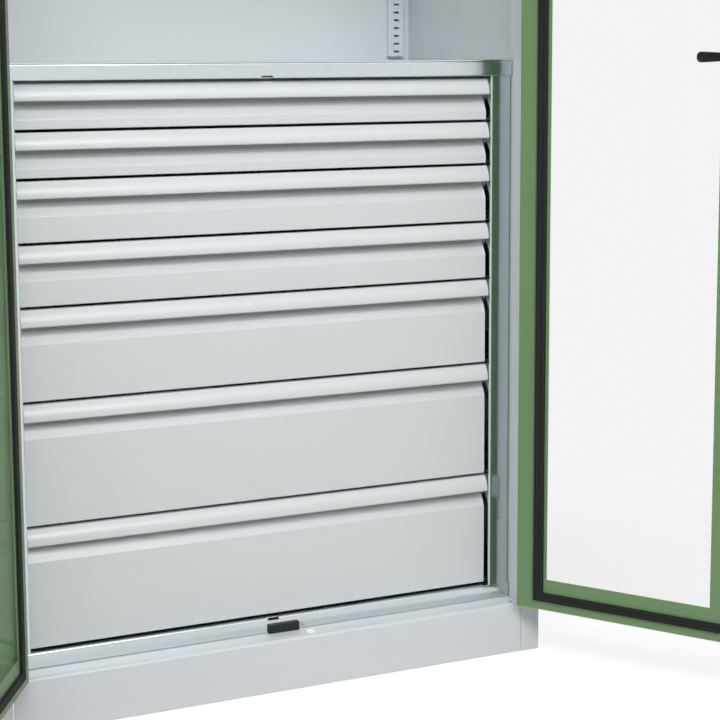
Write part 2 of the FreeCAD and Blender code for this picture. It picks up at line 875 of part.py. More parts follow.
def hinge_door_leaf(z):
    """Upper half of the hinge: knuckle, cranked web and plate on the leaf's edge."""
    z0 = z + knuckle_gap / 2
    z1 = z0 + knuckle_length
    knuckle = rod(knuckle_radius, Vector(pivot_x, pivot_y, z0), Vector(pivot_x, pivot_y, z1))
    plate = box(
        leaf_outer_x, leaf_outer_x + hinge_plate, front_y + hinge_plate, front_y + hinge_plate_depth, z0, z1
    )
    web = box(
        leaf_outer_x, pivot_x, pivot_y - hinge_plate / 2, pivot_y + hinge_plate / 2, z0, z1
    )
    bore = rod(
        pin_radius + pin_clearance, Vector(pivot_x, pivot_y, z0 - OVER), Vector(pivot_x, pivot_y, z1 + OVER)
    )
    return joined([knuckle, plate, web]).cut(bore)


# ---- lock, in the right leaf ----------------------------------------------------------------------
case_y0 = front_y + leaf_sheet
case_y1 = case_y0 + case_depth
rack_y0 = rod_y - rack_thickness / 2
rack_y1 = rod_y + rack_thickness / 2


def lock_rod(upper):
    """Round rod with a flat tail that runs past the pinion in the lock case."""
    side = 1 if upper else -1
    case_end = lock_height + side * (case_height / 2 + rest_gap)
    tip = leaf_top - rod_rest_inset if upper else leaf_bottom + rod_rest_inset
    bar = rod(rod_radius, Vector(rod_x, rod_y, case_end + side * rod_travel), Vector(rod_x, rod_y, tip))
    near = rod_x - side * (pinion_radius + rack_gap)
    far = near - side * rack_width
    tail_end = lock_height - side * pinion_radius * 2
    tail_root = case_end + side * (rod_travel + rod_radius)
    tail = box(
        min(near, far), max(near, far), rack_y0, rack_y1, min(tail_end, tail_root), max(tail_end, tail_root)
    )
    bridge = box(
        min(rod_x, far), max(rod_x, far), rack_y0, rack_y1,
        min(tail_root, tail_root + side * rod_radius), max(tail_root, tail_root + side * rod_radius),
    )
    return joined([bar, tail, bridge])


def lock_case():
    """Case on the inside of the front skin, open at both ends for the rod tails."""
    half = leaf_inner_x + lock_stile_box - leaf_sheet - rest_gap - rod_x
    x0 = rod_x - half
    x1 = rod_x + half
    z0 = lock_height - case_height / 2
    z1 = lock_height + case_height / 2
    outer = box(x0, x1, case_y0, case_y1, z0, z1)
    hollow = box(
        x0 + case_sheet, x1 - case_sheet, case_y0 + case_sheet, case_y1 - case_sheet, z0 - OVER, z1 + OVER
    )
    spindle_hole = rod(
        spindle_radius + spindle_clearance,
        Vector(rod_x, case_y0 - OVER, lock_height),
        Vector(rod_x, case_y0 + case_sheet + OVER, lock_height),
    )
    return outer.cut([hollow, spindle_hole])


def rod_guides():
    """Guide blocks for the rods at both ends of the stile."""
    guides = []
    for z0 in (leaf_bottom + leaf_sheet, leaf_top - leaf_sheet - guide_size):
        block = box(
            rod_x - guide_size / 2, leaf_inner_x + lock_stile_box - leaf_sheet,
            front_y + leaf_sheet, leaf_back_y - leaf_sheet,
            z0, z0 + guide_size,
        )
        bore = rod(
            rod_radius + rest_gap,
            Vector(rod_x, rod_y, z0 - OVER),
            Vector(rod_x, rod_y, z0 + guide_size + OVER),
        )
        guides.append(block.cut(bore))
    return guides


def handle_rose():
    """Backing plate of the handle, with the key cylinder's hole."""
    z1 = lock_height + rose_rise
    plate = box(
        rod_x - rose_width / 2, rod_x + rose_width / 2, front_y - rose_thickness, front_y,
        z1 - rose_height, z1,
    )
    corners = [e for e in plate.Edges if e.BoundBox.YLength > EPS]
    plate = plate.makeFillet(rose_corner, corners)
    holes = [
        rod(
            radius + spindle_clearance,
            Vector(rod_x, front_y - rose_thickness - OVER, z),
            Vector(rod_x, front_y + OVER, z),
        )
        for radius, z in ((spindle_radius, lock_height), (cylinder_radius, lock_height - cylinder_drop))
    ]
    return plate.cut(holes)


def door_handle():
    """Turning handle: hub, lever, spindle and the pinion inside the case."""
    hub_y1 = front_y - rose_thickness - rest_gap
    hub_y0 = hub_y1 - handle_standoff - handle_thickness
    hub = rod(hub_radius, Vector(rod_x, hub_y0, lock_height), Vector(rod_x, hub_y1, lock_height))
    lever = box(
        rod_x, rod_x + handle_length, hub_y0, hub_y0 + handle_thickness,
        lock_height - handle_width / 2, lock_height + handle_width / 2,
    )
    lever_end = rod_x + handle_length
    tip = [e for e in lever.Edges if e.BoundBox.XMin > lever_end - EPS and e.BoundBox.YLength > EPS]
    lever = lever.makeFillet(handle_tip_round, tip)
    grip = joined([hub, lever])
    spindle = rod(
        spindle_radius, Vector(rod_x, hub_y0, lock_height), Vector(rod_x, rack_y1, lock_height)
    )
    pinion = rod(pinion_radius, Vector(rod_x, rack_y0, lock_height), Vector(rod_x, rack_y1, lock_height))
    return joined([grip, spindle, pinion])


def lock_cylinder():
    """Key cylinder with its keyway."""
    z = lock_height - cylinder_drop
    y0 = front_y - rose_thickness - cylinder_proud
    barrel = rod(cylinder_radius, Vector(rod_x, y0, z), Vector(rod_x, y0 + cylinder_length, z))
    keyway = box(
        rod_x - keyway_width / 2, rod_x + keyway_width / 2, y0 - OVER, y0 + keyway_depth,
        z - keyway_half_length, z + keyway_half_length,
    )
    return barrel.cut(keyway)


# ---- output -----------------------------------------------------------------------------------
def write(node, shapes):
    """Write one STEP file; several separate solids share a node as a compound."""
    shape = shapes[0] if len(shapes) == 1 else Part.makeCompound(shapes)
    for solid in shape.Solids:
        if not solid.isValid() or solid.Volume <= 0:
            raise ValueError("bad solid in " + node)
    shape.exportStep("parts/" + node + ".step")


def write_pair(name, right_shapes):
    """A right-hand piece and its mirror image."""
    write("right_" + name, right_shapes)
    write("left_" + name, [mirrored(s) for s in right_shapes])


def write_shell():
    """Shell, drawer block and the fittings fixed to them."""
    write_pair("side_panel", [side_panel()])
    write("back_panel", [back_panel()])
    write("top_panel", [top_panel()])
    write("base_pan", [base_pan()])
    write("rod_bushes", rod_bushes())
    write("door_catch", [door_catch()])
    write("bottom_crossbar", [crossbar(plinth_height, bottom_bar_top, True)])
    write("top_crossbar", [crossbar(drawers_top, block_top, False)])
    write_pair("block_side", [block_side()])
    write("block_back", [block_back()])
    write("block_cover", [block_cover()])
    write("back_uprights", [back_upright(), mirrored(back_upright())])
    write("side_uprights", [side_upright(), mirrored(side_upright())])
    write("lower_shelf", [shelf(lower_shelf_share)])
    write("upper_shelf", [shelf(upper_shelf_share)])
    write("shelf_clips", shelf_clips())
    write_pair("hinge_frame_leaves", [hinge_frame_leaf(z) for z in hinge_heights])


def write_drawers():
    """Each drawer's front, tray and runners, from the top drawer down."""
    fixed = []
    top_z = drawers_top
    for number, pitch in enumerate(drawer_pitches, start=1):
        name = "drawer_" + str(number)
        runner_z = top_z - pitch + runner_height_in_drawer
        inner = drawer_member(runner_z)
        middle = middle_member(runner_z)
        write(name + "_front", [drawer_front(top_z, pitch)])
        write(name + "_tray", drawer_tray(top_z, pitch) + [inner, mirrored(inner)])
        write(name + "_middle_runners", [middle, mirrored(middle)])
        fixed.append(fixed_member(runner_z))
        top_z -= pitch
    write_pair("fixed_runners", fixed)


def write_doors():
    """Both doors, swung open, and the lock in the right one."""
    both = {
        "door_liner": [door_liner()],
        "door_pane": [door_pane()],
        "door_seal": [door_seal()],
        "hinge_door_leaves": [hinge_door_leaf(z) for z in hinge_heights],
    }
    for name, shapes in both.items():
        write_pair(name, [swung_open(s) for s in shapes])
    write("right_door_frame", [swung_open(door_frame(True))])
    write("left_door_frame", [mirrored(swung_open(door_frame(False)))])
    write("lock_case", [swung_open(lock_case())])
    write("rod_guides", [swung_open(s) for s in rod_guides()])
    write("handle_rose", [swung_open(handle_rose())])
    write("door_handle", [swung_open(door_handle())])
    write("lock_cylinder", [swung_open(lock_cylinder())])
    write("upper_lock_rod", [swung_open(lock_rod(True))])
    write("lower_lock_rod", [swung_open(lock_rod(False))])


os.makedirs("parts", exist_ok=True)
write_shell()
write_drawers()
write_doors()
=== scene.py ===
"""Tool cabinet with two window doors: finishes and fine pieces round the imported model, in metres.

+X is to the right as seen from the front, +Y into the cabinet, +Z up. Door pieces are worked out
with the door shut and then hung in its open place.
"""
import sys

import json
import logging
import math
from dataclasses import dataclass
from enum import Enum

import bmesh
import bpy
import numpy as np
from mathutils import Matrix, Vector


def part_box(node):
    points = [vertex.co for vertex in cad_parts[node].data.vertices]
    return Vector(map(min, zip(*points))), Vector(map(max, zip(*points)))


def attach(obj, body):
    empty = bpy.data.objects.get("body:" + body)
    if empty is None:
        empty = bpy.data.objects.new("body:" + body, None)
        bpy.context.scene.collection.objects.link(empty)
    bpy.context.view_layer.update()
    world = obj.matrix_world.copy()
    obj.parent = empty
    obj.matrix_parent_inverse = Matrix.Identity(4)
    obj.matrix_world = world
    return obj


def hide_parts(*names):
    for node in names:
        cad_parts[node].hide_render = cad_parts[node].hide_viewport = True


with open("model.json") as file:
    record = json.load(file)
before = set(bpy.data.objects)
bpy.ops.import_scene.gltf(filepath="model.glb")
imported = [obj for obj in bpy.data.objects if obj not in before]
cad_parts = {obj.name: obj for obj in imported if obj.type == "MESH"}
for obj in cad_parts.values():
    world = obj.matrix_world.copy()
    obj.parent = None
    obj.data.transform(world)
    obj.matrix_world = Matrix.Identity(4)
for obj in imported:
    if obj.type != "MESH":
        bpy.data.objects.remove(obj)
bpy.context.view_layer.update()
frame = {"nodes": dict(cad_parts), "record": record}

log = logging.getLogger("cabinet")

MM = 0.001
SMOOTH_ANGLE = math.radians(32)
MERGE_DISTANCE = 1e-6
WHITE = (1.0, 1.0, 1.0, 1.0)
NOISE_SPAN = (0.3, 0.7)  # nearly all of a noise texture's values

Node = bpy.types.Node
Tree = bpy.types.NodeTree
Socket = bpy.types.NodeSocket
Array = np.ndarray
Span = tuple[float, float]
Place = tuple[float, float, float]
Lines = tuple[Array, Array]
Faces = list[Array]
Surface = tuple[Array, Faces]


class Side(Enum):
    """Side of the cabinet as seen from the front; the value is the sign of X."""

    RIGHT = 1
    LEFT = -1

    @property
    def word(self) -> str:
        """Name used in node and piece names."""
        return self.name.lower()

    @property
    def mirror(self) -> Array:
        """Factors that carry places on the right over to this side."""
        return np.array([self.value, 1, 1])


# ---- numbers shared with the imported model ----
@dataclass(frozen=True)
class Plan:
    """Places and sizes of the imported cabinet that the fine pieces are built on."""

    drawers: int = 7
    open_angle: float = math.radians(120)
    pivot_x: float = 465 * MM
    pivot_y: float = -11 * MM
    leaf_inner: float = 1.5 * MM
    leaf_outer: float = 456.5 * MM
    leaf_bottom: float = 93 * MM
    leaf_top: float = 1907 * MM
    leaf_back: float = 21 * MM
    rod_x: float = 58 * MM
    rod_y: float = 3 * MM
    lock_z: float = 1050 * MM
    face_y: float = 41 * MM
    wall_x: float = 419.1 * MM
    tray_x: float = 400.1 * MM
    tray_y: float = 57.7 * MM
    hinge_z: tuple[float, ...] = (263 * MM, 1176.9 * MM, 1737 * MM)


PLAN = Plan()


# ---- shader helper ----
def linear(code: str) -> tuple[float, float, float, float]:
    """Turn an sRGB hex colour into linear red, green, blue and full alpha.

    Args:
        code: Six hex digits, with or without a leading hash.

    Returns:
        Linear RGBA. Each channel c above 0.04045 becomes ((c + 0.055) / 1.055) to the power 2.4.
    """
    digits = code.lstrip("#")
    srgb = np.array([int(digits[i:i + 2], 16) for i in (0, 2, 4)]) / 255
    values = np.where(srgb > 0.04045, ((srgb + 0.055) / 1.055) ** 2.4, srgb / 12.92)
    return (*values.tolist(), 1.0)


def add_node(tree: Tree, kind: str, feeds: dict | None = None, **settings) -> Node:
    """Add one node with its settings, its input values and the links that feed it.

    Args:
        tree: Tree that gets the node.
        kind: Blender's name for the node type, without ShaderNode in front.
        feeds: Input name or number, to a value or to the output socket that feeds it.
        **settings: Properties of the node itself.

    Returns:
        The new node.
    """
    node = tree.nodes.new("ShaderNode" + kind)
    for name, value in settings.items():
        setattr(node, name, value)
    for name, value in (feeds or {}).items():
        if isinstance(value, Socket):
            tree.links.new(value, node.inputs[name])
        else:
            node.inputs[name].default_value = value
    return node


def mapped(
    tree: Tree, value: Socket, low: float, high: float, span: Span = (0.0, 1.0), **settings
) -> Socket:
    """Map values within the span onto the range from low to high."""
    feeds = {"From Min": span[0], "From Max": span[1], "To Min": low, "To Max": high}
    return add_node(tree, "MapRange", {"Value": value, **feeds}, **settings).outputs["Result"]


def emptied(holder: bpy.types.Material | bpy.types.World) -> Tree:
    """Switch a material or world to nodes and return its emptied tree."""
    holder.use_nodes = True
    holder.node_tree.nodes.clear()
    return holder.node_tree


# ---- finishes ----
@dataclass(frozen=True)
class Finish:
    """Common ground of all surface finishes; colours are sRGB hex codes."""

    name: str
    colour: str
    roughness: float

    def material(self) -> bpy.types.Material:
        """Return this finish's material, made once."""
        if self.name in bpy.data.materials:
            return bpy.data.materials[self.name]
        made = bpy.data.materials.new(self.name)
        tree = emptied(made)
        place = add_node(tree, "TexCoord").outputs["Object"]
        shader = add_node(tree, "BsdfPrincipled", self.shade(tree, place))
        add_node(tree, "OutputMaterial", {"Surface": shader.outputs["BSDF"]})
        return made

    def shade(self, tree: Tree, place: Socket) -> dict:
        """Add the nodes from the object coordinates on and return the shader's inputs."""
        raise NotImplementedError

    def noise(
        self, tree: Tree, place: Socket, size: float, detail: float, run: Place | None = None
    ) -> Socket:
        """Add noise with blotches about size metres wide; a run stretches it along the part."""
        if run:
            place = add_node(tree, "Mapping", {"Vector": place, "Scale": run}).outputs["Vector"]
        feeds = {"Vector": place, "Scale": 1 / size, "Detail": detail}
        return add_node(tree, "TexNoise", feeds).outputs["Fac"]

    def varied(self, tree: Tree, value: Socket, spread: float, span: Span = NOISE_SPAN) -> Socket:
        """Let a value within the span change the roughness by the spread, up and down."""
        return mapped(tree, value, self.roughness - spread, self.roughness + spread, span)

    def bump(self, tree: Tree, height: Socket, strength: float, depth: float, **base) -> Socket:
        """Raise the surface, or the base normal if one is given, by a height map."""
        feeds = {"Height": height, "Strength": strength, "Distance": depth, **base}
        return add_node(tree, "Bump", feeds).outputs["Normal"]

    def two_tone(self, tree: Tree, mask: Socket, second: str) -> Socket:
        """Mix the finish's colour with a second hex colour by a mask."""
        feeds = {0: mask, 6: linear(self.colour), 7: linear(second)}
        return add_node(tree, "Mix", feeds, data_type="RGBA").outputs[2]


@dataclass(frozen=True)
class PowderCoat(Finish):
    """Polyester powder sprayed on steel and stoved.

    It gives the eye an even satin gloss over a faint orange peel, with folds that stay softly
    rounded under the coat. The peel of about 1.5 mm is drawn 4 mm wide so that it shows at all.
    """

    shade_colour: str
    peel: float = 4 * MM
    peel_depth: float = 0.1 * MM
    cloud: float = 0.18
    peel_strength: float = 0.06
    edge: float = 0.9 * MM
    gloss_spread: float = 0.03
    index: float = 1.65

    def shade(self, tree: Tree, place: Socket) -> dict:
        """Nearly even colour, rounded edges and peel bump under a satin coat."""
        clouds = self.noise(tree, place, self.cloud, 2)
        peel = self.noise(tree, place, self.peel, 3)
        base = add_node(tree, "Bevel", {"Radius": self.edge}, samples=4).outputs["Normal"]
        return {
            "Base Color": self.two_tone(tree, clouds, self.shade_colour),
            "Roughness": self.varied(tree, clouds, self.gloss_spread),
            "IOR": self.index,
            "Normal": self.bump(tree, peel, self.peel_strength, self.peel_depth, Normal=base),
        }


@dataclass(frozen=True)
class GalvanisedSheet(Finish):
    """Hot-dip galvanised and skin-passed steel sheet.

    It mirrors softly, with a fine rolling grain and pale zinc spangles about 12 mm wide.
    """

    spangle: float = 12 * MM
    spangle_colour: str = "#cfd7d9"
    spangle_spread: float = 0.01
    grain: float = 0.8 * MM
    grain_run: Place = (1.0, 1.0, 0.05)
    grain_depth: float = 0.05 * MM
    grain_strength: float = 0.05

    def shade(self, tree: Tree, place: Socket) -> dict:
        """Bright metal whose roughness changes a little from spangle to spangle."""
        feeds = {"Vector": place, "Scale": 1 / self.spangle, "Randomness": 1.0}
        cells = add_node(tree, "TexVoronoi", feeds).outputs["Color"]
        tone = add_node(tree, "RGBToBW", {"Color": cells}).outputs["Val"]
        grain = self.noise(tree, place, self.grain, 2, self.grain_run)
        return {
            "Base Color": self.two_tone(tree, tone, self.spangle_colour),
            "Metallic": 1.0,
            "Roughness": self.varied(tree, tone, self.spangle_spread, (0.0, 1.0)),
            "Normal": self.bump(tree, grain, self.grain_strength, self.grain_depth),
        }


@dataclass(frozen=True)
class ZincPlate(Finish):
    """Bright zinc electroplated on pressed steel: cool grey metal, silky from the press."""

    brush: float = 1.5 * MM
    brush_run: Place = (1.0, 0.06, 0.4)
    brush_depth: float = 0.1 * MM
    brush_strength: float = 0.12
    gloss_spread: float = 0.06

    def shade(self, tree: Tree, place: Socket) -> dict:
        """Satin metal with a drawn grain along the part."""
        grain = self.noise(tree, place, self.brush, 3, self.brush_run)
        return {
            "Base Color": linear(self.colour),
            "Metallic": 1.0,
            "Roughness": self.varied(tree, grain, self.gloss_spread),
            "Normal": self.bump(tree, grain, self.brush_strength, self.brush_depth),
        }


@dataclass(frozen=True)
class Moulded(Finish):
    """Injection-moulded or extruded polymer: plastic with a spark-eroded grain, or matt rubber."""

    grain: float
    strength: float
    shade_colour: str
    shine: float
    scatter: float = 0.0
    scatter_depth: float = 3 * MM
    scatter_tint: Place = (1.0, 0.9, 0.8)
    cloud: float = 30 * MM
    grain_depth: float = 0.15 * MM
    gloss_spread: float = 0.05
    index: float = 1.52

    def shade(self, tree: Tree, place: Socket) -> dict:
        """Even colour under a fine grain; light wanders a few millimetres into a pale polymer."""
        grain = self.noise(tree, place, self.grain, 4)
        clouds = self.noise(tree, place, self.cloud, 2)
        return {
            "Base Color": self.two_tone(tree, clouds, self.shade_colour),
            "Roughness": self.varied(tree, grain, self.gloss_spread),
            "IOR": self.index,
            "Specular IOR Level": self.shine,
            "Subsurface Weight": self.scatter,
            "Subsurface Radius": self.scatter_tint,
            "Subsurface Scale": self.scatter_depth,
            "Normal": self.bump(tree, grain, self.strength, self.grain_depth),
        }


@dataclass(frozen=True)
class AcrylicPane(Finish):
    """Cast acrylic sheet with anti-reflection faces: clear, with a trace of grey."""

    coated_index: float = 1.05
    mark: float = 60 * MM

    def shade(self, tree: Tree, place: Socket) -> dict:
        """Clear body; very fine wiping marks change the gloss by a hair."""
        marks = self.noise(tree, place, self.mark, 3)
        return {
            "Base Color": linear(self.colour),
            "Roughness": mapped(tree, marks, 0.0, self.roughness, NOISE_SPAN),
            "IOR": self.coated_index,
            "Transmission Weight": 1.0,
        }


FINISHES: dict[str, Finish] = {
    "painted_shell": PowderCoat("powder_coat_shell", "#ccd1d4", 0.36, "#cacfd2"),
    "painted_front": PowderCoat("powder_coat_fronts", "#cbcfd1", 0.31, "#caced0"),
    "bright_zinc": GalvanisedSheet("galvanised_sheet", "#ccd4d6", 0.16),
    "runner_steel": ZincPlate("zinc_plated_runners", "#a9b1b5", 0.30),
    "green_frame": PowderCoat("powder_coat_green", "#628455", 0.42, "#618353"),
    "clear_pane": AcrylicPane("acrylic_pane", "#f3f3f3", 0.02),
    "black_rubber": Moulded("epdm_rubber", "#101211", 0.7, 2 * MM, 0.1, "#121413", 0.3),
    "black_plastic": Moulded("moulded_polyamide", "#0e0f10", 0.5, 1.2 * MM, 0.2, "#111213", 0.35),
    "white_nylon": Moulded("moulded_nylon", "#f4f5f5", 0.38, 1.6 * MM, 0.06, "#f1f2f2", 0.5, 0.4),
    "hinge_steel": ZincPlate("zinc_plated_fittings", "#b9bfc2", 0.26),
    "cylinder_brass": ZincPlate("nickel_plated_brass", "#c9c7c1", 0.16),
}


# ---- mesh helpers ----
def solid(name: str, surface: Surface) -> bpy.types.Mesh:
    """Make a closed mesh with outward faces, smooth where it bends gently.

    Args:
        name: Name of the mesh.
        surface: Array of n by 3 places, and a list of arrays of face corners.

    Returns:
        The mesh, with doubles merged and normals recalculated.
    """
    points, faces = surface
    mesh = bpy.data.meshes.new(name)
    mesh.from_pydata(points.tolist(), [], [face for group in faces for face in group.tolist()])
    work = bmesh.new()
    work.from_mesh(mesh)
    bmesh.ops.remove_doubles(work, verts=work.verts, dist=MERGE_DISTANCE)
    bmesh.ops.recalc_face_normals(work, faces=work.faces)
    work.to_mesh(mesh)
    work.free()
    mesh.shade_smooth()
    mesh.set_sharp_from_angle(angle=SMOOTH_ANGLE)
    return mesh


def grid_faces(
    rows: int, columns: int, wrap_rows: bool = False, wrap_columns: bool = False
) -> Faces:
    """Quads of a grid of points stored row by row; a wrapped side joins its ends."""
    i, j = np.meshgrid(
        np.arange(rows if wrap_rows else rows - 1),
        np.arange(columns if wrap_columns else columns - 1),
        indexing="ij",
    )
    k, m = (i + 1) % rows, (j + 1) % columns
    corners = [i * columns + j, k * columns + j, k * columns + m, i * columns + m]
    return [np.stack(corners, -1).reshape(-1, 4)]


def tube_faces(rows: int, around: int) -> Faces:
    """Quads of a tube stored ring by ring, and one face over each end."""
    end = np.arange(around)[None]
    return [*grid_faces(rows, around, wrap_columns=True), end, end + around * (rows - 1)]


def unit(vectors: Array) -> Array:
    """Scale each row to length one."""
    return vectors / np.linalg.norm(vectors, axis=-1, keepdims=True)


def rounded_line(points: Array, radii: Array, steps: int) -> Array:
    """Replace each inner corner of a flat line by an arc.

    A corner with half angle h gets an arc of radius r whose centre lies r / sin(h) along the
    corner's bisector. Its points run from one tangent point to the other by spherical
    interpolation: (sin((1 - u) w) a + sin(u w) b) / sin(w), where w is the arc's turn.

    Args:
        points: Array of n by 2 places.
        radii: The n - 2 radii of the inner corners.
        steps: Points on each arc.

    Returns:
        Array of (n - 2) * steps + 2 by 2 places.
    """
    corner = points[1:-1]
    back = unit(points[:-2] - corner)
    on = unit(points[2:] - corner)
    half = np.arccos(np.clip((back * on).sum(-1), -1, 1)) / 2
    centre = corner + unit(back + on) * (radii / np.sin(half))[:, None]
    reach = (radii / np.tan(half))[:, None]
    first = corner + back * reach - centre
    last = corner + on * reach - centre
    turn = (math.pi - 2 * half)[:, None, None]
    u = np.linspace(0, 1, steps)[None, :, None]
    arcs = centre[:, None] + (
        np.sin((1 - u) * turn) * first[:, None] + np.sin(u * turn) * last[:, None]
    ) / np.sin(turn)
    return np.r_[points[:1], arcs.reshape(-1, 2), points[-1:]]


def offset_line(points: Array, distance: float) -> Array:
    """Move a flat line to its own left with mitred corners.

    Each point moves along the mean normal of its two runs, by the distance over the cosine of
    half the turn between them.
    """
    run = unit(np.diff(points, axis=0))
    normal = np.stack([-run[:, 1], run[:, 0]], -1)
    before, after = np.r_[normal[:1], normal], np.r_[normal, normal[-1:]]
    mean = unit(before + after)
    return points + mean * (distance / (mean * before).sum(-1))[:, None]


def folded_strip(points: Array, radii: Array, sheet: float, steps: int) -> Lines:
    """Both faces of a folded sheet that lies to the left of a line.

    Args:
        points: The sheet's outer line, n by 2.
        radii: Inside fold radii of the n - 2 corners.
        sheet: Thickness.
        steps: Points on each fold.

    Returns:
        Outer and inner line with the same number of points.
    """
    run = np.diff(points, axis=0)
    left = (run[:-1, 0] * run[1:, 1] - run[:-1, 1] * run[1:, 0]) > 0
    outer = rounded_line(points, np.where(left, radii + sheet, radii), steps)
    inner = rounded_line(offset_line(points, sheet), np.where(left, radii, radii + sheet), steps)
    return outer, inner


def ring_of(lines: Lines) -> Array:
    """Closed section of a folded sheet: the outer line forwards, the inner line backwards."""
    return np.r_[lines[0], lines[1][::-1]]


def carried_strip(lines: Lines, xs: Array) -> Surface:
    """Carry a folded sheet's section along X.

    Point (i, j) of the surface is (xs[j], ring[i]). Quad strips between the lines close the ends.

    Args:
        lines: The two faces of the section, each n by 2, as Y and Z.
        xs: Places along X, in order, or an array of such places for each ring point.

    Returns:
        Places and faces of the closed strip.
    """
    ring = ring_of(lines)
    along = np.broadcast_to(xs, (len(ring), np.shape(xs)[-1]))
    columns = along.shape[1]
    points = np.concatenate(
        [along[..., None], np.broadcast_to(ring[:, None], (len(ring), columns, 2))], -1
    ).reshape(-1, 3)
    last = len(ring) - 1
    i = np.arange(len(lines[0]) - 1)
    cap = np.stack([i, i + 1, last - 1 - i, last - i], -1) * columns
    return points, [*grid_faces(len(ring), columns, wrap_rows=True), cap, cap + columns - 1]


def turned(radius: Array, height: Array, t: Array) -> Array:
    """Places (r cos t, r sin t, h), with a radius for each row and angle and a height by row."""
    rise = np.broadcast_to(height[:, None], radius.shape)
    return np.stack([radius * np.cos(t), radius * np.sin(t), rise], -1).reshape(-1, 3)


def lathe(profile: Array, around: int = 48, teeth: int = 0, tooth: float = 0.0) -> Surface:
    """Turn a profile of radius and height round the Z axis.

    Point (i, j) is (r cos t_j, r sin t_j, h_i), with t going once round. The radius r is r_i; off
    the axis, a toothed wheel adds tooth times cos(teeth t), steepened and cut off at one.

    Returns:
        Places and quads; points on the axis fall together, and solid merges them.
    """
    t = np.linspace(0, 2 * math.pi, around, endpoint=False)
    wave = tooth * np.clip(2 * np.cos(teeth * t), -1, 1)
    radius = np.where(profile[:, :1] > 0, profile[:, :1] + wave, 0)
    return turned(radius, profile[:, 1], t), grid_faces(len(profile), around, wrap_columns=True)


def domed(radius: float, height: float, steps: int, around: int) -> Surface:
    """Low dome, radius r cos t at height h sin t, with a flat foot."""
    t = np.linspace(0, math.pi / 2, steps)
    dome = np.stack([radius * np.cos(t), height * np.sin(t)], -1)
    return lathe(np.r_[[(0, 0)], dome], around)


def mitred_ring(low: Span, high: Span, insets: Array, lift: Array) -> Surface:
    """Carry a closed section round a rectangle, with mitred corners.

    Section point i makes its own rectangle: the outer one moved in by insets[i], at height lift[i].

    Args:
        low: First corner of the outer rectangle.
        high: Opposite corner.
        insets: n by 4 distances in from the low first side, high first side, low second side and
            high second side.
        lift: n heights.

    Returns:
        Places as first side, second side and height, and the quads.
    """
    left, right = low[0] + insets[:, 0], high[0] - insets[:, 1]
    front, rear = low[1] + insets[:, 2], high[1] - insets[:, 3]
    first = np.stack([left, right, right, left], -1)
    second = np.stack([front, front, rear, rear], -1)
    points = np.stack([first, second, np.broadcast_to(lift[:, None], first.shape)], -1)
    return points.reshape(-1, 3), grid_faces(len(insets), 4, wrap_rows=True, wrap_columns=True)


def rounded_stack(size: Vector, corner: float, insets: Array, lift: Array) -> Surface:
    """Pile up rounded rectangles, each moved in by its inset, and close both ends.

    A corner at angle t is (a + r cos t, b + r sin t), where a and b are the half sizes less the
    corner radius r, and r shrinks with the inset down to a tenth.

    Returns:
        Places and faces.
    """
    around = 12
    t = np.linspace(0, math.pi / 2, around)
    quarter = (np.arange(4) * math.pi / 2)[:, None]
    angle = (quarter + t).ravel()
    sign_x = np.repeat([1, -1, -1, 1], around)
    sign_y = np.repeat([1, 1, -1, -1], around)
    r = np.maximum(corner - insets, corner / 10)[:, None]
    x = sign_x * (size.x / 2 - insets[:, None] - r) + r * np.cos(angle)
    y = sign_y * (size.y / 2 - insets[:, None] - r) + r * np.sin(angle)
    points = np.stack([x, y, np.broadcast_to(lift[:, None], x.shape)], -1).reshape(-1, 3)
    return points, tube_faces(len(insets), 4 * around)


def pierced_plate(us: Array, vs: Array, holes: Array, thickness: float) -> Surface:
    """Flat sheet on a grid of lines, with some of the cells left out and walled.

    Args:
        us: Grid lines along the first side.
        vs: Grid lines along the second side.
        holes: True where a cell is open, len(us) - 1 by len(vs) - 1.
        thickness: Sheet, from height zero up.

    Returns:
        Places as first side, second side and height, and the quads.
    """
    u, v, w = np.meshgrid(us, vs, [0.0, thickness], indexing="ij")
    points = np.stack([u, v, w], -1).reshape(-1, 3)
    rows, columns = len(us), len(vs)
    number = (np.arange(rows)[:, None] * columns + np.arange(columns)) * 2
    full = np.pad(~holes, 1)
    i, j = np.nonzero(~holes)
    flat = np.stack([number[i, j], number[i + 1, j], number[i + 1, j + 1], number[i, j + 1]], -1)
    i, j = np.nonzero(full[1:-1, 1:] != full[1:-1, :-1])
    along = np.stack([number[i, j], number[i + 1, j], number[i + 1, j] + 1, number[i, j] + 1], -1)
    i, j = np.nonzero(full[1:, 1:-1] != full[:-1, 1:-1])
    across = np.stack([number[i, j], number[i, j + 1], number[i, j + 1] + 1, number[i, j] + 1], -1)
    return points, [flat, flat + 1, along, across]


def plain_plate(us: Span, vs: Span, thickness: float) -> Surface:
    """Flat sheet without holes, between two places on each side."""
    return pierced_plate(np.array(us), np.array(vs), np.zeros((1, 1), bool), thickness)


def joined_parts(parts: list[Surface]) -> Surface:
    """Put several surfaces in one, with the face numbers moved on."""
    starts = np.cumsum([0] + [len(p) for p, _ in parts[:-1]])
    groups = [group + start for (_, faces), start in zip(parts, starts) for group in faces]
    return np.concatenate([p for p, _ in parts]), groups


def moved(surface: Surface, offset: Place, order: tuple[int, ...] = (0, 1, 2)) -> Surface:
    """Take the places' columns in another order and move them by an offset."""
    points, faces = surface
    return points[:, order] + np.array(offset), faces


def aimed(surface: Surface, origin: Place, axis: Place) -> Surface:
    """Turn work built on the Z axis so that Z follows another axis, and set it at an origin."""
    points, faces = surface
    turn = Vector((0, 0, 1)).rotation_difference(Vector(axis)).to_matrix()
    return points @ np.array(turn).T + np.array(origin), faces


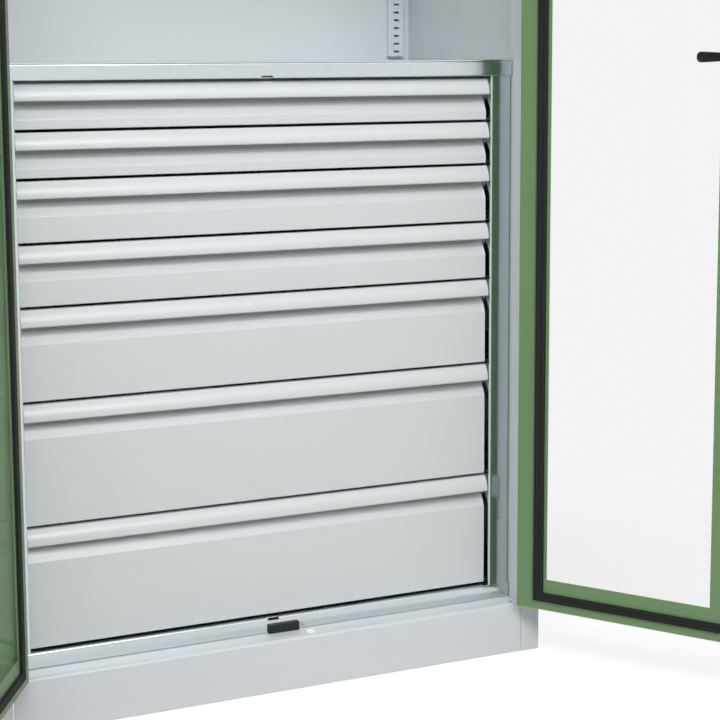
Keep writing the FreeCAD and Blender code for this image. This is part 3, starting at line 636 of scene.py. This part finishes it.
def hung(surface: Surface, side: Side) -> Surface:
    """Swing work on a shut right-hand leaf to its open place; a left-hand leaf mirrors it.

    About the hinge pin, x' = x cos a - y sin a and y' = x sin a + y cos a.
    """
    points, faces = surface
    c, s = math.cos(PLAN.open_angle), math.sin(PLAN.open_angle)
    x, y = points[:, 0] - PLAN.pivot_x, points[:, 1] - PLAN.pivot_y
    out = np.stack([PLAN.pivot_x + x * c - y * s, PLAN.pivot_y + x * s + y * c, points[:, 2]], -1)
    return out * side.mirror, faces


def placed(name: str, data: bpy.types.ID) -> bpy.types.Object:
    """Put an object with this mesh, lamp or camera in the scene, at the origin."""
    made = bpy.data.objects.new(name, data)
    bpy.context.scene.collection.objects.link(made)
    return made


def add_piece(
    name: str, surface: Surface, body: str, slot: str, replaced: tuple[str, ...] = ()
) -> None:
    """Put a closed surface in the scene as a piece, on its body and in its finish.

    Args:
        name: Name of the piece and its mesh.
        surface: Its places and faces, already in place.
        body: Body that it rides on.
        slot: Material slot that it takes its finish from.
        replaced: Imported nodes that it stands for.
    """
    mesh = solid(name, surface)
    piece = placed(name, mesh)
    mesh.materials.append(FINISHES[slot].material())
    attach(piece, body)
    if replaced:
        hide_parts(*replaced)
    log.info("%s: %d faces on %s, %s", name, len(mesh.polygons), body, slot)


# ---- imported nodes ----
@dataclass(frozen=True)
class PackedNodes:
    """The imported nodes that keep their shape."""

    record: dict

    def dress(self) -> None:
        """Give each node the finish of its slot."""
        for part in self.record["subparts"]:
            node = frame["nodes"][part["node"]]
            for holder in node.material_slots:
                holder.material = FINISHES[part["material_slot"]].material()
        log.info("packed nodes: %d dressed", len(self.record["subparts"]))


# ---- drawer fronts ----
@dataclass(frozen=True)
class DrawerFront:
    """Folded front with its rolled handle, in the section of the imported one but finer."""

    number: int
    sheet: float = 1.2 * MM
    gap: float = 4.5 * MM
    handle_height: float = 27 * MM
    top_reach: float = 2.9 * MM
    lip_reach: float = 10.4 * MM
    lip_return: float = 6 * MM
    lip_round: float = 2.4 * MM
    grip_depth: float = 15.5 * MM
    recess_start: float = 31 * MM
    fold_line: float = 60 * MM
    overhang: float = 1 * MM
    overhang_run: float = 1.5 * MM
    fold: float = 1.2 * MM
    end_station: float = 0.998

    def section(self, top: float, bottom: float) -> Lines:
        """Section from the handle's lip, round the handle, down the recess and the flat.

        The handle's face is one arc whose tangent is upright at the lip: with height a and reach
        b its radius is (a squared + b squared) / 2b.
        """
        face = PLAN.face_y
        crown = top - self.gap - self.sheet
        lip = top - self.gap - self.handle_height + self.sheet
        lip_y = face - self.lip_reach + self.sheet
        tall = self.handle_height - 2 * self.lip_round
        deep = self.lip_reach - self.top_reach
        radius = (tall ** 2 + deep ** 2) / (2 * deep)
        turn = math.asin(tall / radius)
        knee = lip - self.sheet + self.lip_round + (radius - self.sheet) * math.tan(turn / 2)
        back = face + self.grip_depth
        points = np.array([
            (lip_y + self.lip_return, lip), (lip_y, lip), (lip_y, knee),
            (lip_y + (crown - knee) * math.tan(turn), crown), (back, crown),
            (back, top - self.recess_start), (face, top - self.fold_line),
            (face, bottom), (PLAN.tray_y, bottom),
        ])
        roll, fold = self.lip_round - self.sheet, self.fold
        radii = np.array([roll, radius - self.sheet, roll, fold, 2 * fold, 2 * fold, fold / 2])
        return folded_strip(points, radii, self.sheet, 12)

    def build(self) -> None:
        """Carry the section along the drawer; below the handle it stops a little shorter."""
        body = f"drawer_{self.number}"
        low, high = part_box(f"{body}_front")
        lines = self.section(high.z + self.gap, low.z)
        drop = high.z - self.handle_height - self.lip_round - ring_of(lines)[:, 1]
        below = np.clip(drop / self.overhang_run, 0, 1)
        half = high.x - self.overhang * below * (3 - 2 * below) * below
        stations = np.r_[-1.0, np.linspace(-self.end_station, self.end_station, 9), 1.0]
        sheet = carried_strip(lines, half[:, None] * stations)
        add_piece(f"{body}_rolled_front", sheet, body, "painted_front", (f"{body}_front",))


# ---- trays and their runners ----
@dataclass(frozen=True)
class DrawerTray:
    """Spot-welded tray with slotted walls and a turned-down rim, and its riveted runner members."""

    number: int
    sheet: float = 1 * MM
    length: float = 398 * MM
    slot_pitch: float = 25 * MM
    slot_width: float = 3 * MM
    slot_margin: float = 14 * MM
    rim_reach: float = 6 * MM
    rim_drop: float = 4 * MM
    rim_fold: float = 0.5 * MM
    runner_rise: float = 32 * MM
    runner_half: float = 18.2 * MM
    runner_depth: float = 8.6 * MM
    runner_sheet: float = 1.5 * MM
    runner_start: float = 2 * MM
    rivet_radius: float = 3 * MM
    rivet_height: float = 0.9 * MM
    rivets: int = 4

    def wall(self, length: float, height: float) -> Surface:
        """Upright wall lying flat: upright slots at the usual pitch between two margins."""
        count = int((length - 2 * self.slot_margin) // self.slot_pitch)
        centres = (np.arange(count) - (count - 1) / 2) * self.slot_pitch + length / 2
        half = self.slot_width / 2
        us = np.r_[0.0, np.sort(np.r_[centres - half, centres + half]), length]
        vs = np.array([0.0, self.slot_margin, height - self.slot_margin, height])
        holes = np.zeros((len(us) - 1, 3), bool)
        holes[1::2, 1] = True
        return pierced_plate(us, vs, holes, self.sheet)

    def tray(self, low: Vector, high: Vector) -> Surface:
        """Floor, two ends, two sides and the rim that is turned in and down along their top."""
        width, height = high.x - low.x, high.z - low.z - self.sheet
        rear = low.y + self.length
        floor = plain_plate((low.x, high.x), (low.y, rear), self.sheet)
        end, side = self.wall(width, height), self.wall(self.length - 2 * self.sheet, height)
        wall_y, wall_z = low.y + self.sheet, low.z + self.sheet
        line = np.array([(self.rim_reach, -self.rim_drop), (self.rim_reach, 0), (self.sheet, 0)])
        ring = ring_of(folded_strip(line, np.full(1, self.rim_fold), self.sheet, 5))
        insets = np.repeat(ring[:, :1], 4, 1)
        rim = mitred_ring((low.x, low.y), (high.x, rear), insets, high.z + ring[:, 1])
        return joined_parts([
            moved(floor, (0, 0, low.z)),
            *(moved(end, (low.x, y, wall_z), (0, 2, 1)) for y in (low.y, rear - self.sheet)),
            *(moved(side, (x, wall_y, wall_z), (2, 0, 1)) for x in (low.x, high.x - self.sheet)),
            rim,
        ])

    def member(self, side: Side, front: float, z: float) -> Surface:
        """Channel riveted to the tray: its web on the tray, its flanges towards the cabinet."""
        web, flange = PLAN.tray_x, PLAN.tray_x + self.runner_depth
        top, foot = z + self.runner_half, z - self.runner_half
        line = np.array([(flange, top), (web, top), (web, foot), (flange, foot)])
        lines = folded_strip(line, np.full(2, self.rim_fold), self.runner_sheet, 6)
        ends = np.array([front + self.runner_start, front + self.length])
        points, faces = carried_strip(lines, ends)
        return points[:, [1, 0, 2]] * side.mirror, faces

    def rivet_heads(self, side: Side, front: float, z: float) -> Surface:
        """Domed heads on the inside of the tray."""
        head = domed(self.rivet_radius, self.rivet_height, 6, 16)
        x = side.value * (PLAN.tray_x - self.sheet)
        ys = front + self.length * (np.arange(self.rivets) + 0.5) / self.rivets
        return joined_parts([aimed(head, (x, y, z), (-side.value, 0, 0)) for y in ys])

    def build(self) -> None:
        """Make the tray, its two runner members and the rivets."""
        body, tray = f"drawer_{self.number}", f"drawer_{self.number}_tray"
        low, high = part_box(tray)
        low.x, high.x = -PLAN.tray_x, PLAN.tray_x
        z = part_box(f"{body}_front")[0].z + self.runner_rise
        heads = [self.rivet_heads(side, low.y, z) for side in Side]
        members = [self.member(side, low.y, z) for side in Side]
        for word, surface, slot in (
            ("body", self.tray(low, high), "painted_front"),
            ("runners", joined_parts(members), "runner_steel"),
            ("rivets", joined_parts(heads), "runner_steel"),
        ):
            add_piece(f"{tray}_{word}", surface, body, slot, (tray,))


# ---- block sides ----
@dataclass(frozen=True)
class BlockSide:
    """Galvanised side of the drawer block: stepped front flange, short hem and groove behind it."""

    side: Side
    sheet: float = 1.2 * MM
    face: float = 28.4 * MM
    flange: float = 40.9 * MM
    step: float = 3 * MM
    foot: float = 20 * MM
    hem: float = 3.8 * MM
    ramp: float = 1 * MM
    groove: float = 3 * MM
    groove_end: float = 24 * MM
    groove_out: float = 29 * MM
    bar_top: float = 116 * MM
    drawers_top: float = 1019 * MM
    seam: float = 0.5 * MM
    fold: float = 1.2 * MM
    crease: float = 0.3 * MM
    soft_fold: float = 1.5 * MM

    def strip(self, front: float, rear: float) -> Surface:
        """Wall with its groove, hem and front flange, beside the drawers only."""
        x, dent, face = PLAN.wall_x, PLAN.wall_x + self.groove, PLAN.wall_x + self.face
        step, flange = front + self.step, x + self.flange
        points = np.array([
            (x, rear), (x, front + self.groove_out), (dent, front + self.groove_end),
            (dent, front + self.hem + self.ramp), (x, front + self.hem), (x, front),
            (face, front), (face, step), (flange, step), (flange, front + self.foot),
        ])
        soft, crease, fold = self.soft_fold, self.crease, self.fold
        radii = np.array([soft, soft, crease, crease, fold, crease, crease, fold])
        lines = folded_strip(points, radii, self.sheet, 6)
        strip = carried_strip(lines, np.array([self.bar_top, self.drawers_top]))
        return moved(strip, (0, 0, 0), (1, 2, 0))

    def plain(self, front: float, rear: float, low: float, high: float) -> Surface:
        """Flat part of the wall behind a crossbar."""
        flat = plain_plate((front + self.foot + self.seam, rear), (low, high), self.sheet)
        return moved(flat, (PLAN.wall_x, 0, 0), (2, 0, 1))

    def build(self) -> None:
        """Make the side, mirrored for the left."""
        name = f"{self.side.word}_block_side"
        low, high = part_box(name)
        heights = ((low.z, self.bar_top), (self.drawers_top, high.z))
        flats = [self.plain(low.y, high.y, *pair) for pair in heights]
        points, faces = joined_parts([self.strip(low.y, high.y), *flats])
        wall = (points * self.side.mirror, faces)
        add_piece(f"{self.side.word}_block_wall", wall, "cabinet", "bright_zinc", (name,))


# ---- doors ----
@dataclass(frozen=True)
class DoorTrim:
    """Rubber on a leaf: the seal on its inner face and the bead that holds the pane."""

    side: Side
    seal_stile_inset: float = 34 * MM
    seal_rail_inset: float = 16 * MM
    seal_stile_width: float = 18 * MM
    seal_rail_width: float = 15 * MM
    seal_height: float = 5.7 * MM
    seal_base: float = 4.4 * MM
    lip_power: float = 0.6
    lock_box: float = 75 * MM
    hinge_box: float = 40 * MM
    rail_box: float = 42 * MM
    pane_front: float = 15.8 * MM
    bead: float = 2 * MM

    def ring(self, insets: Array, depth: Array) -> Surface:
        """Carry a section round the leaf; insets are from the lock, hinge, bottom and top edges."""
        low, high = (PLAN.leaf_inner, PLAN.leaf_bottom), (PLAN.leaf_outer, PLAN.leaf_top)
        ring = mitred_ring(low, high, insets, depth)
        return hung(moved(ring, (0, 0, 0), (0, 2, 1)), self.side)

    def seal(self) -> Surface:
        """Foot with two soft lips: base + lip |sin 2 pi t| to the lip power at width share t."""
        t = np.linspace(0, 1, 41)
        lips = np.abs(np.sin(2 * math.pi * t)) ** self.lip_power
        height = self.seal_base + (self.seal_height - self.seal_base) * lips
        share, lift = np.r_[t, 1.0, 0.0], np.r_[height, 0.0, 0.0]
        stile = self.seal_stile_inset + self.seal_stile_width * share
        rail = self.seal_rail_inset + self.seal_rail_width * share
        return self.ring(np.stack([stile, stile, rail, rail], -1), PLAN.leaf_back + lift)

    def glazing_bead(self) -> Surface:
        """Quarter-round bead in the corner between the pane's outer face and its opening."""
        t = np.linspace(math.pi / 2, 0, 7)
        share, lift = np.r_[0.0, np.cos(t)], np.r_[0.0, np.sin(t)]
        edges = np.array([self.lock_box, self.hinge_box, self.rail_box, self.rail_box])
        return self.ring(edges + self.bead * share[:, None], self.pane_front - self.bead * lift)

    def build(self) -> None:
        """Make the seal and the bead."""
        word = self.side.word
        body = f"{word}_door"
        add_piece(f"{body}_lipped_seal", self.seal(), body, "black_rubber", (f"{body}_seal",))
        add_piece(f"{word}_glazing_bead", self.glazing_bead(), body, "black_rubber")


@dataclass(frozen=True)
class LockFurniture:
    """Lever handle with its pinion, and the key cylinder, on the right leaf."""

    hub_radius: float = 13 * MM
    hub_back: float = -18.3 * MM
    hub_front: float = -41.3 * MM
    lever_length: float = 105 * MM
    lever_height: float = 18 * MM
    lever_thickness: float = 9 * MM
    waist: float = 0.22
    taper: float = 0.12
    tip_share: float = 0.08
    hub_foot: float = 3 * MM
    hub_neck: float = 8 * MM
    hub_neck_share: float = 0.84
    hub_collar: float = 7 * MM
    hub_rounds: tuple[float, ...] = (0.8 * MM, 2 * MM, 8 * MM, 4 * MM, 1.6 * MM)
    spindle: float = 4 * MM
    spindle_length: float = 24.3 * MM
    spindle_sunk: float = 0.1 * MM
    pinion: float = 9.55 * MM
    pinion_teeth: int = 16
    tooth: float = 0.35 * MM
    rack_low: float = 1 * MM
    rack_high: float = 5 * MM
    cylinder_drop: float = 42 * MM
    cylinder_radius: float = 6 * MM
    cylinder_front: float = -21 * MM
    cylinder_length: float = 16 * MM
    keyway_half_width: float = 0.7 * MM
    keyway_half_length: float = 3.6 * MM
    keyway_depth: float = 2 * MM
    guide_depth: float = 0.35 * MM
    guide_ring: tuple[float, ...] = (0.7, 0.74, 0.76)
    bevel: float = 0.4 * MM

    def on_leaf(self, surface: Surface, y: float, drop: float = 0.0) -> Surface:
        """Set lathe work on the leaf with its axis along the depth and heights forwards from y."""
        return hung(aimed(surface, (PLAN.rod_x, y, PLAN.lock_z - drop), (0, -1, 0)), Side.RIGHT)

    def lever(self) -> Surface:
        """Lever: a rounded box section that narrows at the waist and closes in a round tip.

        With s from 0 at the hub to 1 at the tip, the half height is h (1 - w sin(pi s) squared).
        Both half sizes go to zero at the tip as sqrt(1 - k squared), where k is how far s is into
        the tip's share. Round the section, y and z are the square roots of |cos| and |sin|.
        """
        rings, around = 41, 40
        s = 1 - (1 - np.linspace(0, 1, rings)) ** 2
        k = np.clip((s - 1 + self.tip_share) / self.tip_share, 0, 1)
        tip = np.sqrt(np.maximum(1 - k ** 2, 0))
        tall = self.lever_height / 2 * (1 - self.waist * np.sin(math.pi * s) ** 2) * tip
        thick = self.lever_thickness / 2 * (1 - self.taper * s) * tip
        t = np.linspace(0, 2 * math.pi, around, endpoint=False)
        c, d = np.cos(t), np.sin(t)
        y = np.sign(c) * np.sqrt(np.abs(c)) * thick[:, None]
        z = np.sign(d) * np.sqrt(np.abs(d)) * tall[:, None]
        x = np.broadcast_to(PLAN.rod_x + s[:, None] * self.lever_length, y.shape)
        middle = self.hub_front + self.lever_thickness / 2
        points = np.stack([x, middle + y, PLAN.lock_z + z], -1).reshape(-1, 3)
        return hung((points, grid_faces(rings, around, wrap_columns=True)), Side.RIGHT)

    def handle(self) -> Surface:
        """Lever, waisted hub, spindle and toothed pinion."""
        length = self.hub_back - self.hub_front
        r = self.hub_radius
        line = np.array([
            (0, 0), (r, 0), (r, self.hub_foot), (self.hub_neck_share * r, self.hub_neck),
            (r, length - self.hub_collar), (r, length), (0, length),
        ])
        hub = lathe(rounded_line(line, np.array(self.hub_rounds), 6))
        rod = lathe(self.bar(self.spindle, -self.spindle_sunk, self.spindle_length), 24)
        core = self.bar(self.pinion - self.tooth, 0, self.rack_high - self.rack_low)
        gear = lathe(core, 128, self.pinion_teeth, self.tooth)
        return joined_parts([
            self.lever(), self.on_leaf(hub, self.hub_back),
            self.on_leaf(rod, self.rack_high), self.on_leaf(gear, self.rack_high),
        ])

    def bar(self, radius: float, low: float, high: float) -> Array:
        """Profile of a plain round bar."""
        return np.array([(0, low), (radius, low), (radius, high), (0, high)])

    def cylinder(self) -> Surface:
        """Barrel with a bevelled face and a keyway.

        Every row has the same angles t. A keyway row lies on the slot's outline, where the ray at
        angle t leaves it: the smaller of half width / |cos t| and half length / |sin t|.
        """
        around = 64
        t = (np.arange(around) + 0.5) * 2 * math.pi / around
        slot = np.minimum(
            self.keyway_half_width / np.abs(np.cos(t)), self.keyway_half_length / np.abs(np.sin(t))
        )
        r, end = self.cylinder_radius, self.cylinder_length
        step = end - self.guide_depth
        inner, outer, rim = (share * r for share in self.guide_ring)
        rows = [
            (slot, end - self.keyway_depth), (slot, step), (inner, step), (outer, step),
            (rim, end), (r - self.bevel, end), (r, end - self.bevel), (r, 0.0),
        ]
        radius = np.array([np.broadcast_to(a, around) for a, _ in rows])
        barrel = turned(radius, np.array([h for _, h in rows]), t), tube_faces(len(rows), around)
        return self.on_leaf(barrel, self.cylinder_front + end, self.cylinder_drop)

    def build(self) -> None:
        """Make the handle and the key cylinder."""
        add_piece("lever_handle", self.handle(), "handle", "black_plastic", ("door_handle",))
        add_piece(
            "key_barrel", self.cylinder(), "key_cylinder", "cylinder_brass", ("lock_cylinder",)
        )


# ---- small fittings ----
@dataclass(frozen=True)
class Fittings:
    """Rod bushes, catch block and hinge caps."""

    bore: float = 5.5 * MM
    mouth: float = 7.3 * MM
    mouth_depth: float = 2.5 * MM
    sleeve: float = 7 * MM
    flange: float = 8.5 * MM
    flange_height: float = 1.5 * MM
    sleeve_length: float = 12 * MM
    rounds: tuple[float, ...] = (0.25 * MM, 0.5 * MM, 0.125 * MM, 0.25 * MM, 0.5 * MM, 0.5 * MM)
    ledge_z: float = 90 * MM
    soffit_z: float = 1910 * MM
    catch_edge: float = 1.2 * MM
    catch_corner: float = 1.8 * MM
    knuckle: float = 4 * MM
    cap_height: float = 4 / 3 * MM
    knuckle_length: float = 40 * MM
    knuckle_gap: float = 0.2 * MM

    def bush(self) -> Surface:
        """Flanged sleeve with a funnel mouth, its closed section turned once round."""
        throat, top = (self.bore, -self.mouth_depth), self.flange_height
        line = np.array([
            throat, (self.mouth, top), (self.flange, top), (self.flange, 0), (self.sleeve, 0),
            (self.sleeve, -self.sleeve_length), (self.bore, -self.sleeve_length), throat,
        ])
        return lathe(rounded_line(line, np.array(self.rounds), 6))

    def build(self) -> None:
        """Make each of them."""
        bushes = joined_parts([
            aimed(self.bush(), (PLAN.rod_x, PLAN.rod_y, z), (0, 0, way))
            for z, way in ((self.ledge_z, 1), (self.soffit_z, -1))
        ])
        add_piece("nylon_rod_bushes", bushes, "cabinet", "white_nylon", ("rod_bushes",))
        self.catch()
        for side in Side:
            self.hinge_caps(side)

    def catch(self) -> None:
        """Catch block: rounded rectangles piled up from the ledge, the last ones drawn in."""
        low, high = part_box("door_catch")
        middle = (low + high) / 2
        t = np.linspace(0, math.pi / 2, 7)
        edge = self.catch_edge
        insets = np.r_[0.0, edge * (1 - np.cos(t))]
        lift = np.r_[0.0, high.z - low.z - edge * (1 - np.sin(t))]
        block = rounded_stack(high - low, self.catch_corner, insets, lift)
        catch = moved(block, (middle.x, middle.y, low.z))
        add_piece("moulded_catch", catch, "cabinet", "black_plastic", ("door_catch",))

    def hinge_caps(self, side: Side) -> None:
        """Low domes on the upper knuckles of one door's hinges."""
        cap = domed(self.knuckle, self.cap_height, 8, 32)
        x, rise = side.value * PLAN.pivot_x, self.knuckle_gap + self.knuckle_length
        caps = [moved(cap, (x, PLAN.pivot_y, z + rise)) for z in PLAN.hinge_z]
        body = f"{side.word}_door"
        add_piece(f"{side.word}_hinge_caps", joined_parts(caps), body, "hinge_steel")


# ---- stage ----
@dataclass(frozen=True)
class Viewpoint:
    """Camera, given by place, heading, dip and roll, in metres and degrees."""

    place: Place = (-1.188416, -2.719937, 1.055827)
    heading: float = 26.238
    dip: float = 8.139
    roll: float = -0.257
    lens: float = 91.577
    shift: float = -0.06
    sensor: float = 36
    nearest: float = 0.05
    farthest: float = 60

    def build(self) -> None:
        """Make the scene's camera."""
        data = bpy.data.cameras.new("camera")
        data.lens = self.lens
        data.sensor_width = self.sensor
        data.shift_y = self.shift
        data.clip_start, data.clip_end = self.nearest, self.farthest
        camera = placed("camera", data)
        pose = Matrix.Translation(self.place)
        for angle, axis in ((-self.heading, "Z"), (90 - self.dip, "X"), (self.roll, "Z")):
            pose = pose @ Matrix.Rotation(math.radians(angle), 4, axis)
        camera.matrix_world = pose
        bpy.context.scene.camera = camera


@dataclass(frozen=True)
class Softbox:
    """Large rectangular lamp."""

    name: str
    place: Place
    target: Place
    width: float
    height: float
    watts: float

    def build(self) -> None:
        """Hang the lamp and aim it."""
        data = bpy.data.lights.new(self.name, "AREA")
        data.shape = "RECTANGLE"
        data.size, data.size_y = self.width, self.height
        data.energy = self.watts
        aim = (Vector(self.target) - Vector(self.place)).to_track_quat("-Z", "Y")
        placed(self.name, data).matrix_world = Matrix.LocRotScale(Vector(self.place), aim, None)


@dataclass(frozen=True)
class Studio:
    """Pale floor, white surround and soft lamps."""

    ambient: float = 0.05
    floor_colour: str = "#fafafa"
    glow: float = 0.85
    glow_span: Span = (0.6, 1.7)
    floor_roughness: Span = (0.8, 0.9)
    speck_scale: float = 25.0
    floor_reach: float = 14.0

    def build(self) -> None:
        """Set up world, floor and lamps."""
        self.surround()
        self.floor()
        for lamp in (
            Softbox("key", (-1.362, -3.742, 4.142), (0.0, 0.1, 0.6), 2.4, 0.8, 117),
            Softbox("left_fill", (-3.051, -2.560, 4.142), (0.0, 0.1, 0.6), 2.4, 1.0, 66),
            Softbox("front_fill", (0.411, -4.695, 2.998), (0.0, 0.1, 0.6), 2.4, 1.4, 73),
            Softbox("strip", (1.517, -3.408, 3.316), (0.0, 0.1, 0.7), 3.0, 0.3, 12),
            Softbox("top", (0.0, -0.9, 4.6), (0.0, 0.0, 0.3), 3.0, 2.0, 17),
            Softbox("rear", (1.8, 4.2, 3.0), (0.0, 0.3, 0.9), 3.0, 2.2, 110),
        ):
            lamp.build()

    def surround(self) -> None:
        """White where it is seen, mirrored or looked at through the panes, softer as a lamp."""
        world = bpy.data.worlds.new("surround")
        bpy.context.scene.world = world
        tree = emptied(world)
        strength = mapped(tree, self.seen(tree), self.ambient, 1.0)
        light = add_node(tree, "Background", {"Color": WHITE, "Strength": strength})
        add_node(tree, "OutputWorld", {"Surface": light.outputs["Background"]})

    def floor(self) -> None:
        """Large pale floor; it is no part of the cabinet."""
        reach = self.floor_reach
        mesh = bpy.data.meshes.new("floor")
        corners = [(-reach, -reach, 0), (reach, -reach, 0), (reach, reach, 0), (-reach, reach, 0)]
        mesh.from_pydata(corners, [], [(0, 1, 2, 3)])
        floor = placed("floor", mesh)
        mesh.materials.append(self.floor_material())

    def floor_material(self) -> bpy.types.Material:
        """Matt paint that also glows where it is seen, to stay white with a soft shadow."""
        made = bpy.data.materials.new("studio_floor")
        tree = emptied(made)
        place = add_node(tree, "TexCoord").outputs["Object"]
        feeds = {"Vector": place, "Scale": self.speck_scale, "Detail": 2.0}
        speck = add_node(tree, "TexNoise", feeds).outputs["Fac"]
        away = add_node(tree, "VectorMath", {0: place}, operation="LENGTH").outputs["Value"]
        spread = mapped(
            tree, away, self.glow, 1.0, self.glow_span, interpolation_type="SMOOTHSTEP"
        )
        matt = add_node(tree, "BsdfDiffuse", {
            "Color": linear(self.floor_colour),
            "Roughness": mapped(tree, speck, *self.floor_roughness),
        })
        white = add_node(tree, "Emission", {"Color": WHITE, "Strength": 1.0})
        mix = add_node(tree, "MixShader", {
            0: self.combined(tree, self.seen(tree), spread, "MULTIPLY"),
            1: matt.outputs["BSDF"],
            2: white.outputs["Emission"],
        })
        add_node(tree, "OutputMaterial", {"Surface": mix.outputs["Shader"]})
        return made

    def combined(self, tree: Tree, first: Socket, second: Socket, operation: str) -> Socket:
        """Combine two values by one operation."""
        return add_node(tree, "Math", {0: first, 1: second}, operation=operation).outputs[0]

    def seen(self, tree: Tree) -> Socket:
        """One for rays that show the surround itself: straight, mirrored or through a pane."""
        path = add_node(tree, "LightPath").outputs
        direct = self.combined(tree, path["Is Camera Ray"], path["Is Transmission Ray"], "MAXIMUM")
        return self.combined(tree, direct, path["Is Glossy Ray"], "MAXIMUM")


def main() -> None:
    """Build the scene in order and report each piece."""
    logging.basicConfig(level=logging.INFO, format="%(name)s: %(message)s", stream=sys.stdout)
    bpy.context.scene.view_settings.view_transform = "Standard"
    Viewpoint().build()
    Studio().build()
    PackedNodes(frame["record"]).dress()
    for number in range(1, PLAN.drawers + 1):
        DrawerFront(number).build()
        DrawerTray(number).build()
    for side in Side:
        BlockSide(side).build()
        DoorTrim(side).build()
    LockFurniture().build()
    Fittings().build()


if __name__ == "__main__":
    main()
